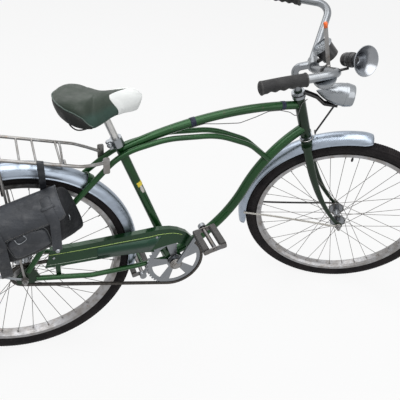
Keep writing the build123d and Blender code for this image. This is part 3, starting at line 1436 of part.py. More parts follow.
def below_top_tube(share, sag):
    """A point of the wire, so far along the top tube and below where it hugs it."""
    return top_line.line @ share + Vector(0, -WIRE_HUG, -WIRE_HUG - sag)


wire_points = [
    below_top_tube(0.36, 0),
    below_top_tube(0.44, 0),
    below_top_tube(0.52, 12),
    below_top_tube(0.64, 24),
    below_top_tube(0.73, 13),
    below_top_tube(0.80, 0),
    below_top_tube(0.87, 0),
    below_top_tube(0.93, 8),
    at(REAR, 839, -HEAD_TUBE_RADIUS - 2.5, 403),
    at(REAR, 845, -HEAD_TUBE_RADIUS - 2.5, 445),
    at(REAR, 862, -HEAD_TUBE_RADIUS - 2.5, 460),
]
with BuildPart() as lamp_wire:
    add(rod(wire_points, WIRE_RADIUS, [30, 30, 30, 30, 30, 30, 12, 9, 12]))
write(lamp_wire, "lamp_wire")
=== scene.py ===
import json
import math

import bmesh
import bpy
from mathutils import Matrix, Vector, noise


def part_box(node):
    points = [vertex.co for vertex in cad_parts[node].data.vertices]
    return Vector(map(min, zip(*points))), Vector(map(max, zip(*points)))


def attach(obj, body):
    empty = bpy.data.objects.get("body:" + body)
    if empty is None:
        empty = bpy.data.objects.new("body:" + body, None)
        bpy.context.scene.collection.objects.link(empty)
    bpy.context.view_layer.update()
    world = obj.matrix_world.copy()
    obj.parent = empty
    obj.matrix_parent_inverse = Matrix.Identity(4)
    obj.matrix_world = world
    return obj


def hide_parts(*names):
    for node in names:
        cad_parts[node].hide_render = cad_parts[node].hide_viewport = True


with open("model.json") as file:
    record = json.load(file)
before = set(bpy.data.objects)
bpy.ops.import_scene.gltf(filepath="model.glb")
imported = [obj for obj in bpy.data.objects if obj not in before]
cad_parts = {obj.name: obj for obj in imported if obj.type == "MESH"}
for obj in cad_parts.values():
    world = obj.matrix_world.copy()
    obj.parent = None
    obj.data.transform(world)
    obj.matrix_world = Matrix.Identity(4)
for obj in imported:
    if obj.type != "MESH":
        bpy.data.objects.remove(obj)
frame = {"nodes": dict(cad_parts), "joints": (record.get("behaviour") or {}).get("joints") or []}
bpy.context.scene.view_settings.view_transform = "Standard"
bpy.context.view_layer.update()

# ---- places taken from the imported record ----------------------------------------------
JOINTS = {joint["name"]: joint for joint in frame["joints"]}
REAR_AXLE = Vector(JOINTS["rear_wheel_spin"]["pos_m"])
FRONT_AXLE = Vector(JOINTS["front_wheel_spin"]["pos_m"])
CRANK_AXLE = Vector(JOINTS["crank_spin"]["pos_m"])
STEER_AXIS = Vector(JOINTS["steering_turn"]["axis"]).normalized()
STEER_POINT = Vector(JOINTS["steering_turn"]["pos_m"])
STEER_REST = math.radians(-28.5)
TURN = Matrix.Rotation(STEER_REST, 3, STEER_AXIS)
WHEEL_RADIUS = REAR_AXLE.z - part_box("rear_tyre")[0].z
NODES = frame["nodes"]
X, Y, Z = Vector((1, 0, 0)), Vector((0, 1, 0)), Vector((0, 0, 1))
ZERO = Vector((0, 0, 0))


def mm(*values):
    return Vector(values) / 1000


def rear_point(forward, left, up):
    """A point so many millimetres forward, left and up of the rear axle."""
    return REAR_AXLE + mm(forward, left, up)


def head_point(forward, left, up):
    """The same, measured with the steering straight, then turned with it."""
    return STEER_POINT + TURN @ (rear_point(forward, left, up) - STEER_POINT)


def unit(value):
    """The value held between 0 and 1."""
    return min(max(value, 0), 1)


def new_object(name, data):
    thing = bpy.data.objects.new(name, data)
    bpy.context.scene.collection.objects.link(thing)
    return thing


def feed(links, entry, value):
    """Gives a node's input another node's result, or a number."""
    if isinstance(value, bpy.types.NodeSocket):
        links.new(value, entry)
    else:
        entry.default_value = value


def calculate(nodes, links, operation, *values):
    """The result of a Math node."""
    node = nodes.new("ShaderNodeMath")
    node.operation = operation
    for entry, value in zip(node.inputs, values):
        feed(links, entry, value)
    return node.outputs[0]


# ---- camera, light and floor ----------------------------------------------------------
SENSOR_MM = 36.0
LENS_MM = 45.3
CAMERA_RIGHT = Vector((0.9326, -0.3537, 0.0720))
CAMERA_UP = Vector((0.1447, 0.5491, 0.8231))
CAMERA_SPOT = (23.64, -1207.46, 1034.18)
LAMP_TARGET = (550, 0, 200)
WORLD_LIGHT = (0.93, 0.96, 1.0, 1)
WORLD_STRENGTH = 0.30
FLOOR_EDGE = 6.0
FLOOR_GREY = (0.66, 0.66, 0.66, 1)
FLOOR_GLOW = 0.89


def set_camera():
    camera = bpy.data.cameras.new("camera")
    camera.sensor_width = SENSOR_MM
    camera.lens = LENS_MM
    holder = new_object("camera", camera)
    ways = (CAMERA_RIGHT, CAMERA_UP, CAMERA_RIGHT.cross(CAMERA_UP))
    place = Matrix(ways).transposed().to_4x4()
    place.translation = rear_point(*CAMERA_SPOT)
    holder.matrix_world = place
    bpy.context.scene.camera = holder


def pale_rays(nodes, links):
    """1 for rays from the camera, off gloss and through glass, which see the pale studio."""
    path = nodes.new("ShaderNodeLightPath")
    result = path.outputs["Is Camera Ray"]
    for other in ("Is Glossy Ray", "Is Transmission Ray"):
        result = calculate(nodes, links, "MAXIMUM", result, path.outputs[other])
    return result


def mix_surface(nodes, links, share, plain, pale, out):
    """Sends out a mix of two shaders: the pale one where the share is high."""
    mix = nodes.new("ShaderNodeMixShader")
    for entry, source in zip(mix.inputs, (share, plain.outputs[0], pale.outputs[0])):
        links.new(source, entry)
    links.new(mix.outputs[0], out.inputs["Surface"])


def set_world():
    world = bpy.data.worlds.new("studio")
    bpy.context.scene.world = world
    world.use_nodes = True
    nodes, links = world.node_tree.nodes, world.node_tree.links
    nodes.clear()
    out = nodes.new("ShaderNodeOutputWorld")
    seen = nodes.new("ShaderNodeBackground")
    seen.inputs["Color"].default_value = (1, 1, 1, 1)
    lit = nodes.new("ShaderNodeBackground")
    lit.inputs["Color"].default_value = WORLD_LIGHT
    lit.inputs["Strength"].default_value = WORLD_STRENGTH
    mix_surface(nodes, links, pale_rays(nodes, links), lit, seen, out)


def add_lamp(name, place, target, size, power):
    lamp = bpy.data.lights.new(name, "AREA")
    lamp.shape = "RECTANGLE"
    lamp.size, lamp.size_y = size
    lamp.energy = power
    holder = new_object(name, lamp)
    holder.location = place
    holder.rotation_euler = (target - place).to_track_quat("-Z", "Y").to_euler()


def make_floor():
    low = REAR_AXLE.z - WHEEL_RADIUS
    mesh = bpy.data.meshes.new("floor")
    edge = FLOOR_EDGE
    corners = [(-edge, -edge, low), (edge, -edge, low), (edge, edge, low), (-edge, edge, low)]
    mesh.from_pydata(corners, [], [(0, 1, 2, 3)])
    floor = new_object("floor", mesh)
    paint = bpy.data.materials.new("floor_paint")
    paint.use_nodes = True
    nodes, links = paint.node_tree.nodes, paint.node_tree.links
    shader = nodes["Principled BSDF"]
    shader.inputs["Base Color"].default_value = FLOOR_GREY
    shader.inputs["Roughness"].default_value = 1.0
    shader.inputs["Specular IOR Level"].default_value = 0.0
    glow = nodes.new("ShaderNodeEmission")
    glow.inputs["Color"].default_value = (1, 1, 1, 1)
    share = calculate(nodes, links, "MULTIPLY", pale_rays(nodes, links), FLOOR_GLOW)
    mix_surface(nodes, links, share, shader, glow, nodes["Material Output"])
    mesh.materials.append(paint)


set_camera()
set_world()
for name, place, size, power in (
    ("key_lamp", (300, -1000, 3400), (3.4, 3.4), 112),
    ("fill_lamp", (1900, -2600, 1500), (2.4, 2.4), 22),
    ("back_lamp", (300, 2300, 2600), (3.2, 2.0), 36),
):
    add_lamp(name, rear_point(*place), rear_point(*LAMP_TARGET), size, power)
make_floor()


# ---- finishes -------------------------------------------------------------------------
class Finish:
    """A procedural material on Object coordinates, built up a layer at a time."""

    def __init__(self, name, colour, roughness, metallic=0.0):
        self.material = bpy.data.materials.new(name)
        self.material.use_nodes = True
        self.nodes = self.material.node_tree.nodes
        self.links = self.material.node_tree.links
        self.shader = self.nodes["Principled BSDF"]
        self.shader.inputs["Metallic"].default_value = metallic
        self.place = self.nodes.new("ShaderNodeTexCoord").outputs["Object"]
        flat = self.nodes.new("ShaderNodeRGB")
        flat.outputs[0].default_value = (*colour, 1)
        self.colour = flat.outputs[0]
        self.roughness = roughness
        self.height = None

    def texture(self, kind, scale, stretch=None):
        source = self.nodes.new(kind)
        source.inputs["Scale"].default_value = scale
        vector = self.place
        if stretch:
            mapping = self.nodes.new("ShaderNodeMapping")
            mapping.inputs["Scale"].default_value = stretch
            self.links.new(vector, mapping.inputs["Vector"])
            vector = mapping.outputs[0]
        self.links.new(vector, source.inputs["Vector"])
        return source

    def ranged(self, value, low, high, kind="LINEAR"):
        """0 where the value is low and 1 where it is high."""
        node = self.nodes.new("ShaderNodeMapRange")
        node.interpolation_type = kind
        node.inputs["From Min"].default_value = low
        node.inputs["From Max"].default_value = high
        self.links.new(value, node.inputs["Value"])
        return node.outputs[0]

    def grain(self, scale, detail=4.0, stretch=None, low=0.35, high=0.65):
        """Noise pulled to 0..1 between two levels."""
        source = self.texture("ShaderNodeTexNoise", scale, stretch)
        source.inputs["Detail"].default_value = detail
        return self.ranged(source.outputs["Fac"], low, high)

    def cells(self, scale):
        return self.texture("ShaderNodeTexVoronoi", scale).outputs["Distance"]

    def bands(self, axis, scale):
        source = self.texture("ShaderNodeTexWave", scale)
        source.bands_direction = axis
        return source.outputs["Fac"]

    def level(self, axis, start, end):
        """0 at one height of the object's own axis and 1 at the other."""
        split = self.nodes.new("ShaderNodeSeparateXYZ")
        self.links.new(self.place, split.inputs[0])
        return self.ranged(split.outputs[axis], start, end, "SMOOTHSTEP")

    def worn(self):
        """1 on sharp outer edges, 0 elsewhere."""
        geometry = self.nodes.new("ShaderNodeNewGeometry")
        return self.ranged(geometry.outputs["Pointiness"], 0.51, 0.56)

    def calculate(self, operation, *values):
        return calculate(self.nodes, self.links, operation, *values)

    def tint(self, value, colour, amount=1.0):
        """Mixes a colour in where the value is high."""
        mix = self.nodes.new("ShaderNodeMix")
        mix.data_type = "RGBA"
        factor = self.calculate("MULTIPLY", value, amount)
        self.links.new(factor, mix.inputs["Factor"])
        self.links.new(self.colour, mix.inputs[6])
        mix.inputs[7].default_value = (*colour, 1)
        self.colour = mix.outputs[2]
        return self

    def roughen(self, value, amount):
        self.roughness = self.calculate("MULTIPLY_ADD", value, amount, self.roughness)
        return self

    def raise_by(self, value, height):
        """Adds to the bump, in metres."""
        lifted = self.calculate("MULTIPLY", value, height)
        self.height = self.calculate("ADD", self.height, lifted) if self.height else lifted
        return self

    def coat(self, weight, roughness):
        self.shader.inputs["Coat Weight"].default_value = weight
        self.shader.inputs["Coat Roughness"].default_value = roughness
        return self

    def shine(self, level):
        self.shader.inputs["Specular IOR Level"].default_value = level
        return self

    def done(self):
        self.links.new(self.colour, self.shader.inputs["Base Color"])
        feed(self.links, self.shader.inputs["Roughness"], self.roughness)
        if self.height:
            bump = self.nodes.new("ShaderNodeBump")
            bump.inputs["Distance"].default_value = 1.0
            bump.inputs["Strength"].default_value = 1.0
            self.links.new(self.height, bump.inputs["Height"])
            self.links.new(bump.outputs[0], self.shader.inputs["Normal"])
        return self.material


def green_enamel(name, colour, light):
    """Metallic green under clear lacquer, with dust in the lee and small chips."""
    finish = Finish(name, colour, 0.26, 0.5).coat(0.35, 0.05).shine(0.2)
    finish.tint(finish.grain(6, 3), light, 0.35)
    finish.tint(finish.grain(420, 2, low=0.62, high=0.74), (0.12, 0.26, 0.10), 0.14)
    finish.tint(finish.grain(55, 6, low=0.66, high=0.72), (0.05, 0.045, 0.03), 0.55)
    finish.roughen(finish.grain(18, 5), 0.14)
    finish.raise_by(finish.grain(240, 2), 0.00006)
    return finish.done()


def chrome_plate(name, colour=(0.29, 0.305, 0.32), rough=0.20, streak=(4, 4, 4)):
    """Plated steel with haze, faint blue-grey streaks painted in as a reflection, and pin spots of
    rust.
    """
    finish = Finish(name, colour, rough, 1.0)
    # painted reflection: stretched blue-grey streaks tinted into the plate's colour
    finish.tint(finish.grain(7, 3, streak, 0.25, 0.75), (0.16, 0.175, 0.20), 0.45)
    finish.tint(finish.grain(90, 5, low=0.70, high=0.78), (0.12, 0.09, 0.07), 0.4)
    finish.roughen(finish.grain(9, 2, streak, 0.2, 0.8), 0.14)
    finish.raise_by(finish.grain(14, 1), 0.000012)
    return finish.done()


def bare_steel(name, colour=(0.30, 0.30, 0.30), rough=0.36):
    finish = Finish(name, colour, rough, 0.9)
    finish.tint(finish.grain(40, 6), (0.16, 0.14, 0.12), 0.6)
    finish.tint(finish.grain(110, 5, low=0.62, high=0.72), (0.17, 0.09, 0.05), 0.45)
    finish.roughen(finish.grain(60, 4), 0.2)
    finish.raise_by(finish.grain(300, 3), 0.00005)
    return finish.done()


def oily_chain():
    finish = Finish("oily_chain", (0.040, 0.038, 0.036), 0.42, 0.8)
    finish.tint(finish.grain(160, 4), (0.13, 0.11, 0.095), 0.5)
    finish.roughen(finish.grain(90, 4), 0.25)
    finish.raise_by(finish.grain(400, 4), 0.0001)
    return finish.done()


def tyre_rubber():
    """Old black rubber gone brownish and dusty."""
    finish = Finish("tyre_rubber", (0.010, 0.009, 0.010), 0.72).shine(0.14)
    finish.tint(finish.grain(14, 5), (0.024, 0.020, 0.020), 0.6)
    finish.tint(finish.grain(130, 5, low=0.58, high=0.75), (0.060, 0.052, 0.048), 0.3)
    finish.roughen(finish.grain(50, 4), 0.16)
    finish.raise_by(finish.grain(500, 4), 0.00012)
    return finish.done()


def moulded_rubber(name, colour=(0.014, 0.014, 0.015)):
    finish = Finish(name, colour, 0.55).shine(0.25)
    finish.tint(finish.grain(35, 5), (0.045, 0.044, 0.044), 0.5)
    finish.tint(finish.worn(), (0.13, 0.125, 0.12), 0.5)
    finish.roughen(finish.grain(70, 4), 0.2)
    finish.raise_by(finish.cells(900), 0.00008)
    return finish.done()


def black_enamel():
    finish = Finish("black_enamel", (0.012, 0.012, 0.013), 0.3, 0.2).coat(0.35, 0.15).shine(0.3)
    finish.tint(finish.grain(45, 6, low=0.5, high=0.7), (0.07, 0.06, 0.05), 0.4)
    finish.roughen(finish.grain(60, 5), 0.25)
    finish.raise_by(finish.grain(180, 3), 0.00008)
    return finish.done()


def saddle_vinyl(name, colour, shade, rough, lit_side_colour=None):
    """Grained vinyl: fine cells, a lower side painted paler as painted light, and faint dirt in
    the hollows.
    """
    finish = Finish(name, colour, rough).shine(0.28)
    if lit_side_colour:
        # painted light: the lower side tinted a paler teal, where light falls on it
        finish.tint(finish.level("Z", -0.016, -0.036), lit_side_colour, 0.85)
    finish.tint(finish.grain(11, 5), shade, 0.5)
    finish.tint(finish.cells(700), shade, 0.25)
    finish.roughen(finish.grain(45, 5), 0.15)
    finish.raise_by(finish.cells(1100), 0.00018)
    finish.raise_by(finish.grain(24, 4), 0.0006)
    return finish.done()


def bag_hide(name, colour, worn, shine):
    """Black hide worn grey: creases, scuffs and a fine pebble."""
    finish = Finish(name, colour, 0.40).shine(shine)
    finish.tint(finish.grain(9, 6), worn, 0.7)
    finish.tint(finish.grain(38, 8, low=0.56, high=0.7), (0.12, 0.12, 0.125), 0.7 * shine)
    finish.roughen(finish.grain(20, 6), 0.2)
    finish.raise_by(finish.cells(620), 0.00022)
    finish.raise_by(finish.grain(26, 6, (1, 1, 2.2)), 0.0014)
    return finish.done()


def lens_glass():
    finish = Finish("lens_glass", (0.86, 0.90, 0.93), 0.05)
    finish.shader.inputs["Transmission Weight"].default_value = 0.85
    finish.shader.inputs["IOR"].default_value = 1.5
    finish.tint(finish.grain(40, 4), (0.62, 0.68, 0.74), 0.4)
    finish.raise_by(finish.bands("Y", 90), 0.0006)
    return finish.done()


def wire_sleeve():
    finish = Finish("wire_sleeve", (0.05, 0.05, 0.05), 0.5).shine(0.3)
    finish.tint(finish.grain(90, 4), (0.22, 0.22, 0.21), 0.5)
    finish.raise_by(finish.grain(400, 2), 0.00005)
    return finish.done()


def tape_cloth():
    finish = Finish("tape_cloth", (0.010, 0.012, 0.026), 0.5).shine(0.2)
    finish.tint(finish.grain(60, 4), (0.05, 0.06, 0.10), 0.6)
    finish.raise_by(finish.grain(300, 3), 0.0002)
    return finish.done()


def stripe_paint(name, colour):
    finish = Finish(name, colour, 0.35).coat(0.3, 0.1).shine(0.3)
    finish.tint(finish.grain(90, 5, low=0.6, high=0.72), (0.05, 0.12, 0.05), 0.7)
    finish.raise_by(finish.grain(300, 2), 0.00004)
    return finish.done()


def cream_paint():
    finish = Finish("cream_paint", (0.52, 0.50, 0.46), 0.45, 0.4)
    finish.tint(finish.grain(40, 6, low=0.5, high=0.7), (0.24, 0.22, 0.18), 0.5)
    finish.roughen(finish.grain(50, 4), 0.2)
    finish.raise_by(finish.grain(220, 3), 0.00006)
    return finish.done()


GREEN = green_enamel("green_enamel", (0.005, 0.040, 0.008), (0.016, 0.100, 0.020))
# painted shade: a darker copy of the frame green for the head tube, fork and rear fork ends
SHADED_GREEN = green_enamel("shaded_green_enamel", (0.004, 0.016, 0.006), (0.010, 0.036, 0.012))
GUARD_GREEN = green_enamel("guard_enamel", (0.006, 0.030, 0.010), (0.014, 0.064, 0.022))
CHROME = chrome_plate("chrome_plate")
# painted reflection: the fender steel's blue tint stands in for a bluish sky reflected in it
FENDER_STEEL = chrome_plate("fender_steel", (0.33, 0.38, 0.45), 0.24, (2, 9, 9))
DULL_CHROME = chrome_plate("dull_chrome", (0.23, 0.24, 0.25), 0.22)
POST_STEEL = chrome_plate("post_steel", (0.60, 0.59, 0.57), 0.3)
STEEL = bare_steel("bare_steel")
RIM_STEEL = bare_steel("rim_steel", (0.34, 0.34, 0.35), 0.28)
RACK_STEEL = bare_steel("rack_steel", (0.30, 0.30, 0.30), 0.3)
SPOKE_STEEL = bare_steel("spoke_steel", (0.10, 0.098, 0.095), 0.38)
PEDAL_STEEL = bare_steel("pedal_steel", (0.15, 0.15, 0.155), 0.3)
CHAIN_STEEL = oily_chain()
TYRE = tyre_rubber()
RUBBER = moulded_rubber("moulded_rubber")
BLACK = black_enamel()
# the saddle's last colour is the painted light on its lower side
SADDLE_GREEN = saddle_vinyl("saddle_green", (0.014, 0.022, 0.015), (0.034, 0.050, 0.036), 0.38,
                            (0.022, 0.060, 0.048))
SADDLE_SKIRT = saddle_vinyl("saddle_skirt", (0.007, 0.008, 0.007), (0.016, 0.019, 0.017), 0.42)
SADDLE_WHITE = saddle_vinyl("saddle_white", (0.78, 0.79, 0.77), (0.60, 0.62, 0.61), 0.40)
HIDE = bag_hide("bag_hide", (0.016, 0.018, 0.022), (0.055, 0.060, 0.070), 0.4)
# painted shade: a darker copy of the bag hide, worn by the shell and its gusset
SHADED_HIDE = bag_hide("bag_gusset_painted_shade", (0.005, 0.0055, 0.007), (0.014, 0.015, 0.018), 0.2)
GLASS = lens_glass()
SLEEVE = wire_sleeve()
TAPE = tape_cloth()
STRIPE = stripe_paint("stripe_paint", (0.42, 0.60, 0.16))
PALE_STRIPE = stripe_paint("pale_stripe_paint", (0.55, 0.62, 0.52))
CREAM = cream_paint()

NODE_FINISH = {
    GREEN: (
        "top_tube down_tube seat_tube side_tube_left side_tube_right chainstay_left "
        "chainstay_right bottom_bracket_shell"
    ),
    GUARD_GREEN: "chain_guard",
    SHADED_GREEN: "rear_fork_ends fork head_tube",
    CHROME: (
        "headset_cups headset_lock_ring seat_clamp horn_trumpet headlight_shell headlight_rim "
        "speedometer_bezel bell_dome rear_fender_stays"
    ),
    DULL_CHROME: "handlebar stem chainwheel crank front_hub rear_hub",
    FENDER_STEEL: "rear_fender front_fender",
    POST_STEEL: "seat_post",
    STEEL: "rear_axle front_axle signal_lever rear_cog rack_clamp",
    PEDAL_STEEL: "pedal_left_frame pedal_right_frame",
    RIM_STEEL: "rear_rim front_rim",
    RACK_STEEL: "rear_rack rack_legs",
    SPOKE_STEEL: "rear_spokes front_spokes",
    CHAIN_STEEL: "chain",
    RUBBER: "pedal_left_blocks pedal_right_blocks grips",
    BLACK: "headlight_bracket horn_body horn_bracket speedometer_case saddle_base",
    CREAM: "front_fender_stays",
    GLASS: "headlight_lens",
    SLEEVE: "lamp_wire",
    TYRE: "rear_tyre front_tyre",
    SADDLE_GREEN: "saddle_cover",
    SADDLE_WHITE: "saddle_nose_cover",
    HIDE: "bag_body",
}


for finish, names in NODE_FINISH.items():
    for name in names.split():
        for slot in NODES[name].material_slots:
            slot.material = finish


# ---- building helpers -----------------------------------------------------------------
def own(name, mesh, body, slot, smooth=True):
    """Makes a mesh a piece of the part, which rides on a body."""
    piece = new_object(name, mesh)
    for polygon in mesh.polygons:
        polygon.use_smooth = smooth
    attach(piece, body)
    return piece


def add_piece(name, points, faces, body, slot, finish):
    """A finished piece, whose mesh stands where it belongs."""
    mesh = bpy.data.meshes.new(name)
    mesh.from_pydata([tuple(p) for p in points], [], faces)
    work = bmesh.new()
    work.from_mesh(mesh)
    bmesh.ops.remove_doubles(work, verts=work.verts, dist=1e-6)
    bmesh.ops.recalc_face_normals(work, faces=work.faces)
    work.to_mesh(mesh)
    work.free()
    mesh.materials.append(finish)
    return own(name, mesh, body, slot)


def thicken(piece, thickness, offset):
    """Gives a surface a thickness, to one side of it."""
    solid = piece.modifiers.new("thickness", "SOLIDIFY")
    solid.thickness = thickness
    solid.offset = offset


def grid_faces(rows, columns, wrap_rows=False, wrap_columns=False):
    faces = []
    for i in range(rows if wrap_rows else rows - 1):
        for j in range(columns if wrap_columns else columns - 1):
            a, b = i, (i + 1) % rows
            c, d = j, (j + 1) % columns
            faces.append((a * columns + c, b * columns + c, b * columns + d, a * columns + d))
    return faces


def lathe(profile, origin, axis, steps, start=None):
    """Turns (along, radius) pairs about an axis."""
    axis = axis.normalized()
    side = start or axis.orthogonal().normalized()
    other = axis.cross(side)
    points = []
    for i in range(steps):
        angle = math.tau * i / steps
        outward = side * math.cos(angle) + other * math.sin(angle)
        points += [origin + axis * along + outward * radius for along, radius in profile]
    return points, grid_faces(steps, len(profile), wrap_rows=True)


def tube(path, radius, sides=10, flat=None, normal=None, closed=False):
    """A round or flat bar along points; flat is (width, thickness) across a normal."""
    points = []
    count = len(path)
    for i, here in enumerate(path):
        ahead = path[(i + 1) % count] if closed or i + 1 < count else here
        behind = path[i - 1] if closed or i else here
        along = (ahead - behind).normalized()
        if normal is None:
            side = along.orthogonal().normalized()
            if i:
                side = (last_side - along * last_side.dot(along)).normalized()
            last_side = side
        else:
            facing = normal[i] if isinstance(normal, list) else normal
            side = along.cross(facing).normalized()
        up = side.cross(along)
        if flat:
            w, t = flat[0] / 2, flat[1] / 2
            bevel = min(w, t) * 0.5
            shape = (
                (-w, -t + bevel), (-w + bevel, -t), (w - bevel, -t), (w, -t + bevel),
                (w, t - bevel), (w - bevel, t), (-w + bevel, t), (-w, t - bevel),
            )
        else:
            shape = [
                (radius * math.cos(math.tau * k / sides), radius * math.sin(math.tau * k / sides))
                for k in range(sides)
            ]
        points += [here + side * u + up * v for u, v in shape]
    size = len(shape)
    faces = grid_faces(count, size, wrap_rows=closed, wrap_columns=True)
    if not closed:
        faces.append(tuple(range(size)))
        faces.append(tuple(range((count - 1) * size, count * size)))
    return points, faces


def curve_point(a, b, c, d, t):
    """A point of the Catmull-Rom line from b to c."""
    return (b * 2 + (c - a) * t + (a * 2 - b * 5 + c * 4 - d) * t ** 2
            + (b * 3 - a - c * 3 + d) * t ** 3) / 2


def led_in(points):
    """The points with one more before and one more after, for a line through them."""
    return [points[0] * 2 - points[1], *points, points[-1] * 2 - points[-2]]


def smooth_path(points, steps=8):
    """A Catmull-Rom line through points."""
    guide = led_in(points)
    line = [
        curve_point(*guide[i - 1:i + 3], k / steps)
        for i in range(1, len(guide) - 2) for k in range(steps)
    ]
    line.append(points[-1])
    return line


def joined(*shapes):
    """Several (points, faces) as one."""
    points, faces = [], []
    for some_points, some_faces in shapes:
        base = len(points)
        points += list(some_points)
        faces += [tuple(base + index for index in face) for face in some_faces]
    return points, faces


def moved(place, shape):
    """The (points, faces) of a shape, set in its place."""
    return [place @ p for p in shape[0]], shape[1]


def block(centre, x_way, y_way, z_way, size, bevel=0.18):
    """A box with its edges chamfered."""
    points = []
    hx, hy, hz = (value / 2 for value in size)
    cut = min(hx, hy, hz) * 2 * bevel
    for z, inset in ((-hz, cut), (-hz + cut, 0), (hz - cut, 0), (hz, cut)):
        x, y = hx - inset, hy - inset
        for u, v in ((-x, -y), (x, -y), (x, y), (-x, y)):
            points.append(centre + x_way * u + y_way * v + z_way * z)
    faces = grid_faces(4, 4, wrap_columns=True) + [(0, 1, 2, 3), (12, 13, 14, 15)]
    return points, faces


# ---- repeats made with Geometry Nodes --------------------------------------------------
def new_tree(name, values):
    """A tree that takes a shape, some values and a finish, and gives a shape."""
    tree = bpy.data.node_groups.new(name, "GeometryNodeTree")
    for label, kind in (("Geometry", "Geometry"), *values, ("Finish", "Material")):
        tree.interface.new_socket(label, in_out="INPUT", socket_type=f"NodeSocket{kind}")
    tree.interface.new_socket("Geometry", in_out="OUTPUT", socket_type="NodeSocketGeometry")
    return tree


def end_tree(tree, given, put):
    """Makes the instances real, paints them and gives them out."""
    real = tree.nodes.new("GeometryNodeRealizeInstances")
    paint = tree.nodes.new("GeometryNodeSetMaterial")
    out = tree.nodes.new("NodeGroupOutput")
    for source, entry in (
        (put.outputs[0], real.inputs[0]), (real.outputs[0], paint.inputs["Geometry"]),
        (given.outputs["Finish"], paint.inputs["Material"]), (paint.outputs[0], out.inputs[0]),
    ):
        tree.links.new(source, entry)
    return tree


def ring_tree():
    """Repeats what comes in about the Y axis: Count times, from Phase, over Sweep."""
    values = (("Count", "Int"), ("Sweep", "Float"), ("Phase", "Float"))
    tree = new_tree("ring_of_pieces", values)
    nodes, links = tree.nodes, tree.links
    given = nodes.new("NodeGroupInput")
    line = nodes.new("GeometryNodeMeshLine")
    line.inputs["Offset"].default_value = (0, 0, 0)
    index = nodes.new("GeometryNodeInputIndex")
    angles = nodes.new("ShaderNodeCombineXYZ")
    put = nodes.new("GeometryNodeInstanceOnPoints")
    count, phase = given.outputs["Count"], given.outputs["Phase"]
    step = calculate(nodes, links, "DIVIDE", given.outputs["Sweep"], count)
    turn = calculate(nodes, links, "MULTIPLY_ADD", index.outputs[0], step, phase)
    for source, entry in (
        (count, line.inputs["Count"]), (turn, angles.inputs["Y"]),
        (line.outputs[0], put.inputs["Points"]),
        (given.outputs["Geometry"], put.inputs["Instance"]),
        (angles.outputs[0], put.inputs["Rotation"]),
    ):
        links.new(source, entry)
    return end_tree(tree, given, put)


def row_tree():
    """Sets an oval bead of a given length and width at even steps along a line."""
    values = (("Spacing", "Float"), ("Length", "Float"), ("Width", "Float"))
    tree = new_tree("row_of_stitches", values)
    nodes, links = tree.nodes, tree.links
    given = nodes.new("NodeGroupInput")
    to_curve = nodes.new("GeometryNodeMeshToCurve")
    along = nodes.new("GeometryNodeCurveToPoints")
    along.mode = "LENGTH"
    bead = nodes.new("GeometryNodeMeshUVSphere")
    for label, value in (("Segments", 6), ("Rings", 4), ("Radius", 0.5)):
        bead.inputs[label].default_value = value
    size = nodes.new("ShaderNodeCombineXYZ")
    put = nodes.new("GeometryNodeInstanceOnPoints")
    for source, entry in (
        (given.outputs["Geometry"], to_curve.inputs[0]), (to_curve.outputs[0], along.inputs[0]),
        (given.outputs["Spacing"], along.inputs["Length"]),
        (given.outputs["Width"], size.inputs["X"]), (given.outputs["Width"], size.inputs["Y"]),
        (given.outputs["Length"], size.inputs["Z"]),
        (along.outputs["Points"], put.inputs["Points"]),
        (along.outputs["Rotation"], put.inputs["Rotation"]),
        (bead.outputs["Mesh"], put.inputs["Instance"]), (size.outputs[0], put.inputs["Scale"]),
    ):
        links.new(source, entry)
    return end_tree(tree, given, put)


RING_TREE = ring_tree()
ROW_TREE = row_tree()


def grown(name, points, faces, edges, tree, inputs, place=None):
    """Runs a tree on a mesh, and gives the plain mesh of its result, set in place."""
    seed = bpy.data.meshes.new(name)
    seed.from_pydata([tuple(p) for p in points], edges, faces)
    if faces:
        work = bmesh.new()
        work.from_mesh(seed)
        bmesh.ops.recalc_face_normals(work, faces=work.faces)
        work.to_mesh(seed)
        work.free()
    maker = new_object(name + "_maker", seed)
    modifier = maker.modifiers.new("repeat", "NODES")
    modifier.node_group = tree
    for item in tree.interface.items_tree:
        if item.in_out == "INPUT" and item.name in inputs:
            modifier[item.identifier] = inputs[item.name]
    maker.update_tag()
    graph = bpy.context.evaluated_depsgraph_get()
    mesh = bpy.data.meshes.new_from_object(maker.evaluated_get(graph))
    bpy.data.objects.remove(maker)
    if place:
        mesh.transform(place)
    return mesh


def ring_piece(name, shape, count, finish, place, body, slot, phase=0.0, sweep=math.tau,
               smooth=False):
    points, faces = shape
    inputs = {"Count": count, "Sweep": sweep, "Phase": phase, "Finish": finish}
    mesh = grown(name, points, faces, [], RING_TREE, inputs, place)
    return own(name, mesh, body, slot, smooth)


def stitch_row(name, path, spacing, length, width, finish, body, slot):
    edges = [(i, i + 1) for i in range(len(path) - 1)]
    inputs = {"Spacing": spacing, "Length": length, "Width": width, "Finish": finish}
    mesh = grown(name, path, [], edges, ROW_TREE, inputs)
    return own(name, mesh, body, slot)


# each wheel's own frame: its Y is the axle, its origin the axle's middle
REAR_PLACE = Matrix.Translation(REAR_AXLE)
FRONT_PLACE = Matrix.Translation(FRONT_AXLE) @ TURN.to_4x4()


# ---- wheels ---------------------------------------------------------------------------
TYRE_HALF = 0.022
TYRE_HEIGHT = 0.040
SEAT_RADIUS = WHEEL_RADIUS - TYRE_HEIGHT
RIM_INNER_RADIUS = 0.273
TREAD_HEIGHT = 0.0014
TYRE_STEPS = 160
TREAD_COUNT = 250
SPOKE_PAIRS = 18
VALVE_ANGLE = -95


